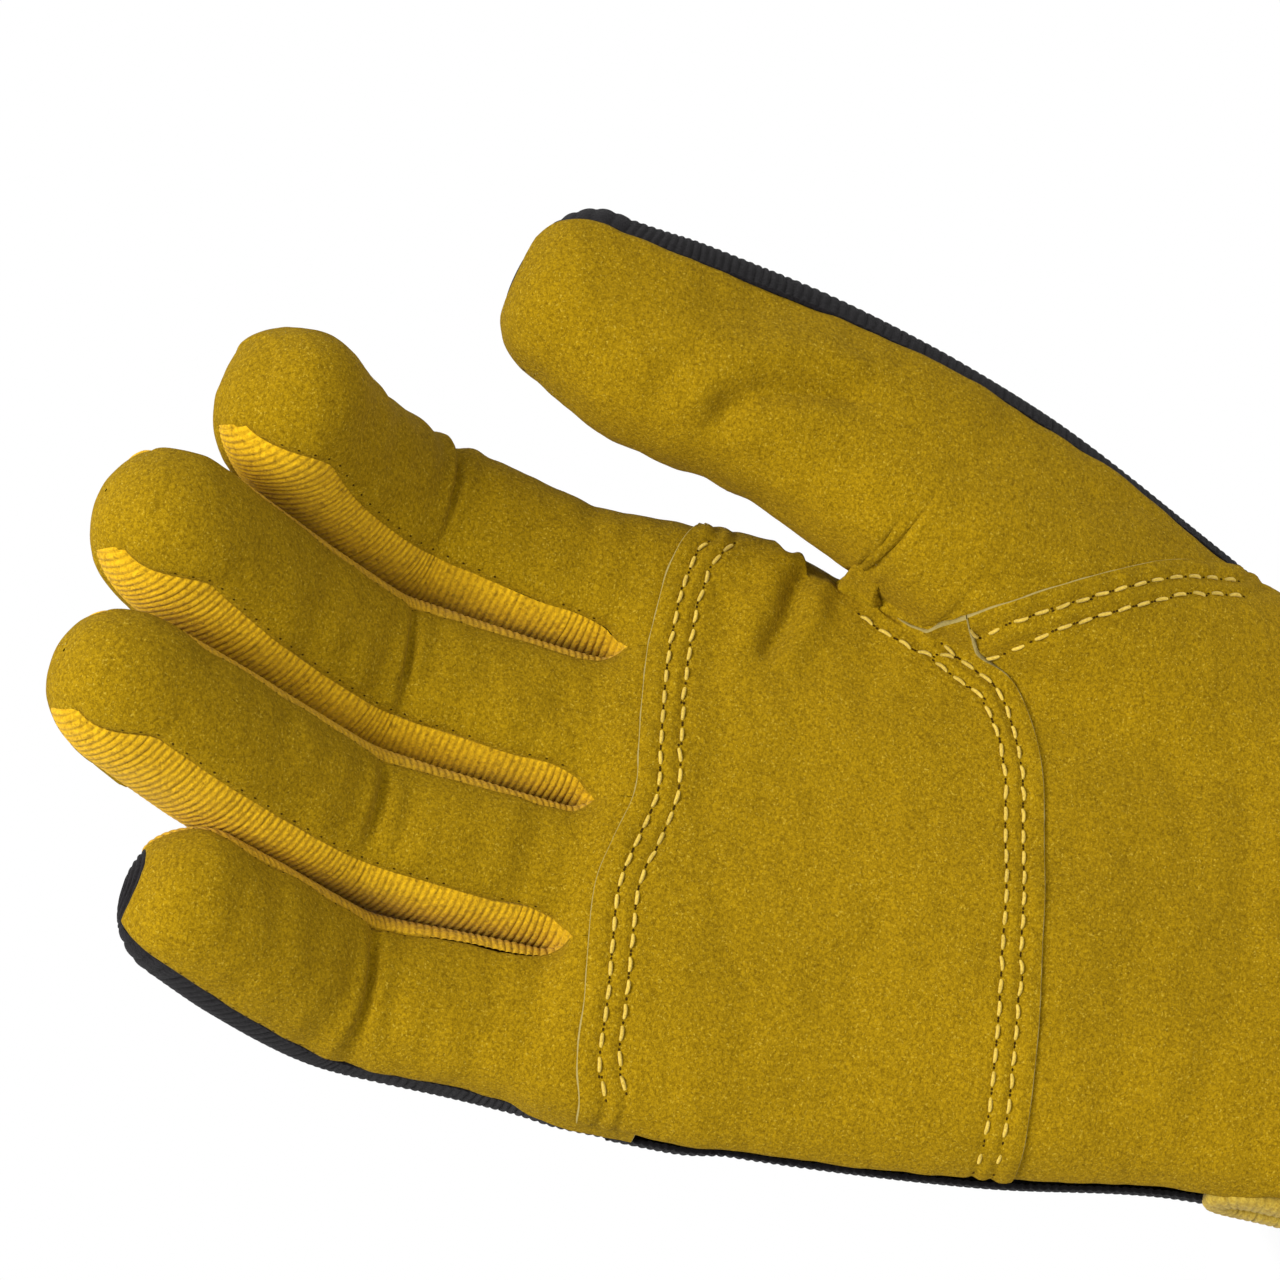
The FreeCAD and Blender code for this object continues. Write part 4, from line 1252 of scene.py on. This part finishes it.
# hooks as a fine grid of points on the patch's outer face
p, n = strap_grid(-10, 14.3, 13.6, 34.4, 2.35, 60, 70, 3.0)
m = Mesh("hook_patch")
m.sheet(raised(p, n, -0.16 * (np.indices(p.shape[:2]).sum(0) % 2)), -n, -0.9)
placed(m, "hook_tape", ["hook_patch"], "strap")

p, n = strap_grid(-14, 29.8, 13.5, 34.5, 0.95, 70, 130, 3.0)
flat = p.reshape(-1, 3)
p = raised(p, n, 0.22 * waves(flat, 1.6, 51, 12) + 0.12 * waves(flat, 0.8, 52, 12))
m = Mesh("loop_patch")
m.sheet(p, n, 1.0)
edge_stitches(m, p, n, 1.6, 2.6)
placed(m, "loop_tape", ["loop_patch"], extra=[THREAD])

p, n = cuff_point(np.radians(np.linspace(-68, -128, 90))[None, :],
                  np.linspace(STRAP_LOW, STRAP_HIGH, 60)[:, None], 3.6)
keep = (p[30, :, 0] < STRAP_ROOT - 0.4) | (p[30, :, 1] < 0)
p, n = p[:, keep], n[:, keep]
p, shade = ribs(p, n, 1.15, 0.22, 41, 1, 0.4)
n = grid_normals(p, n)
m = Mesh("strap_anchor")
m.sheet(p, n, 1.8, rim=shade)
edge_stitches(m, p, n, 2.0)
placed(m, "strap_webbing", ["strap_anchor"], extra=[THREAD])


# ------------------------------------------------------------ stitches on the palm

def sewn_row(m, line, far, panel):
    """A row of stitches and their needle holes along a seam, lying on a panel."""
    d = np.gradient(line, axis=0)
    side = np.column_stack([-d[:, 1], d[:, 0]]) / np.hypot(d[:, 0], d[:, 1])[:, None]
    place, ahead = paced(line + side * far, PITCH)
    points, normals = (a.reshape(-1, 3) for a in panel)
    front = normals[:, 1] < 0.2
    points, normals = points[front], normals[front]

    def nearest(flat):
        return np.array([np.argmin(((points[:, [0, 2]] - f) ** 2).sum(1)) for f in flat])
    near = nearest(place)
    a, b = points[nearest(place - ahead * 1.7)], points[nearest(place + ahead * 1.7)]
    on, normal, ahead = (a + b + points[near]) / 3, normals[near], unit(b - a)
    r = np.random.default_rng(len(on))
    length = 3.0 * r.uniform(0.9, 1.06, len(on)).mean() - 0.3
    skew = 0.07 * r.normal(size=(len(on), 3))
    m.stitches(on + normal * 0.08, normal, unit(ahead + skew), length, 0.33, 0)
    # painted shade of the needle holes at both ends of each stitch
    for end in (a, b):
        m.dots(end + normal * 0.05, normal, ahead, 0.3)


m = Mesh("palm_stitches")
for line, far, panel in ((TOP_LINE, -ROW_ONE, PATCH), (TOP_LINE, -ROW_TWO, PATCH), (LOW_LINE, ROW_ONE, PATCH),
                         (LOW_LINE, ROW_TWO, PATCH), (through(WEB_ROW, LINE_POINTS), 0.0, PATCH),
                         (HEEL_LINE, ROW_ONE, HEEL), (HEEL_LINE, ROW_TWO, HEEL)):
    sewn_row(m, line, far, panel)
piece = m.build("suede", [THREAD, NEEDLE_HOLE_SHADE])
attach(piece, "hand")


# ------------------------------------------------------------ floor, light and camera

FLOOR = 190.0
floor_material = bpy.data.materials.new("floor")
floor_material.use_nodes = True
shader = floor_material.node_tree.nodes["Principled BSDF"]
shader.inputs["Base Color"].default_value = grey(0.72)
shader.inputs["Roughness"].default_value = 0.9
turn = np.linspace(0, TURN, 129)
rings = [(FLOOR * k / 8, 0.0) for k in range(8)]
rings += [(FLOOR - 3, 0), (FLOOR - 1, -0.5), (FLOOR, -2), (FLOOR, -6)]
p = np.array([[(r * math.cos(a), r * math.sin(a), h) for a in turn] for r, h in rings]) - 0.05 * Z
m = Mesh("floor")
m.grid(p, np.broadcast_to(Z, p.shape), False)
m.build(None, [floor_material])

scene = bpy.context.scene
world = bpy.data.worlds.new("studio")
world.use_nodes = True
world.node_tree.nodes["Background"].inputs["Color"].default_value = (1, 1, 1, 1)
world.node_tree.nodes["Background"].inputs["Strength"].default_value = 1.0
scene.world = world
scene.view_settings.view_transform = "Standard"

TARGET = Vector((22, -22, 170)) * MM
DISTANCE = 0.6
AZIMUTH, ELEVATION, ROLL = (math.radians(a) for a in (-25, 5, 77))
KEY_SIZE, KEY_POWER = 0.6, 26
behind = Vector((math.sin(AZIMUTH) * math.cos(ELEVATION), -math.cos(AZIMUTH) * math.cos(ELEVATION),
                 math.sin(ELEVATION)))
level = Vector((math.cos(AZIMUTH), math.sin(AZIMUTH), 0))
upright = behind.cross(level)
right = math.cos(ROLL) * level - math.sin(ROLL) * upright
up = math.sin(ROLL) * level + math.cos(ROLL) * upright

key = bpy.data.objects.new("key", bpy.data.lights.new("key", "AREA"))
key.data.size, key.data.energy = KEY_SIZE, KEY_POWER
offset = behind * 0.95 + up * 0.2 - right * 0.85
key.matrix_world = Matrix.Translation(TARGET + offset) @ offset.to_track_quat("Z", "Y").to_matrix().to_4x4()
scene.collection.objects.link(key)

camera = bpy.data.objects.new("camera", bpy.data.cameras.new("camera"))
camera.data.sensor_width = 36
camera.data.lens = 101.25
facing = Matrix((right, up, behind)).transposed().to_4x4()
camera.matrix_world = Matrix.Translation(TARGET + behind * DISTANCE) @ facing
scene.collection.objects.link(camera)
scene.camera = camera
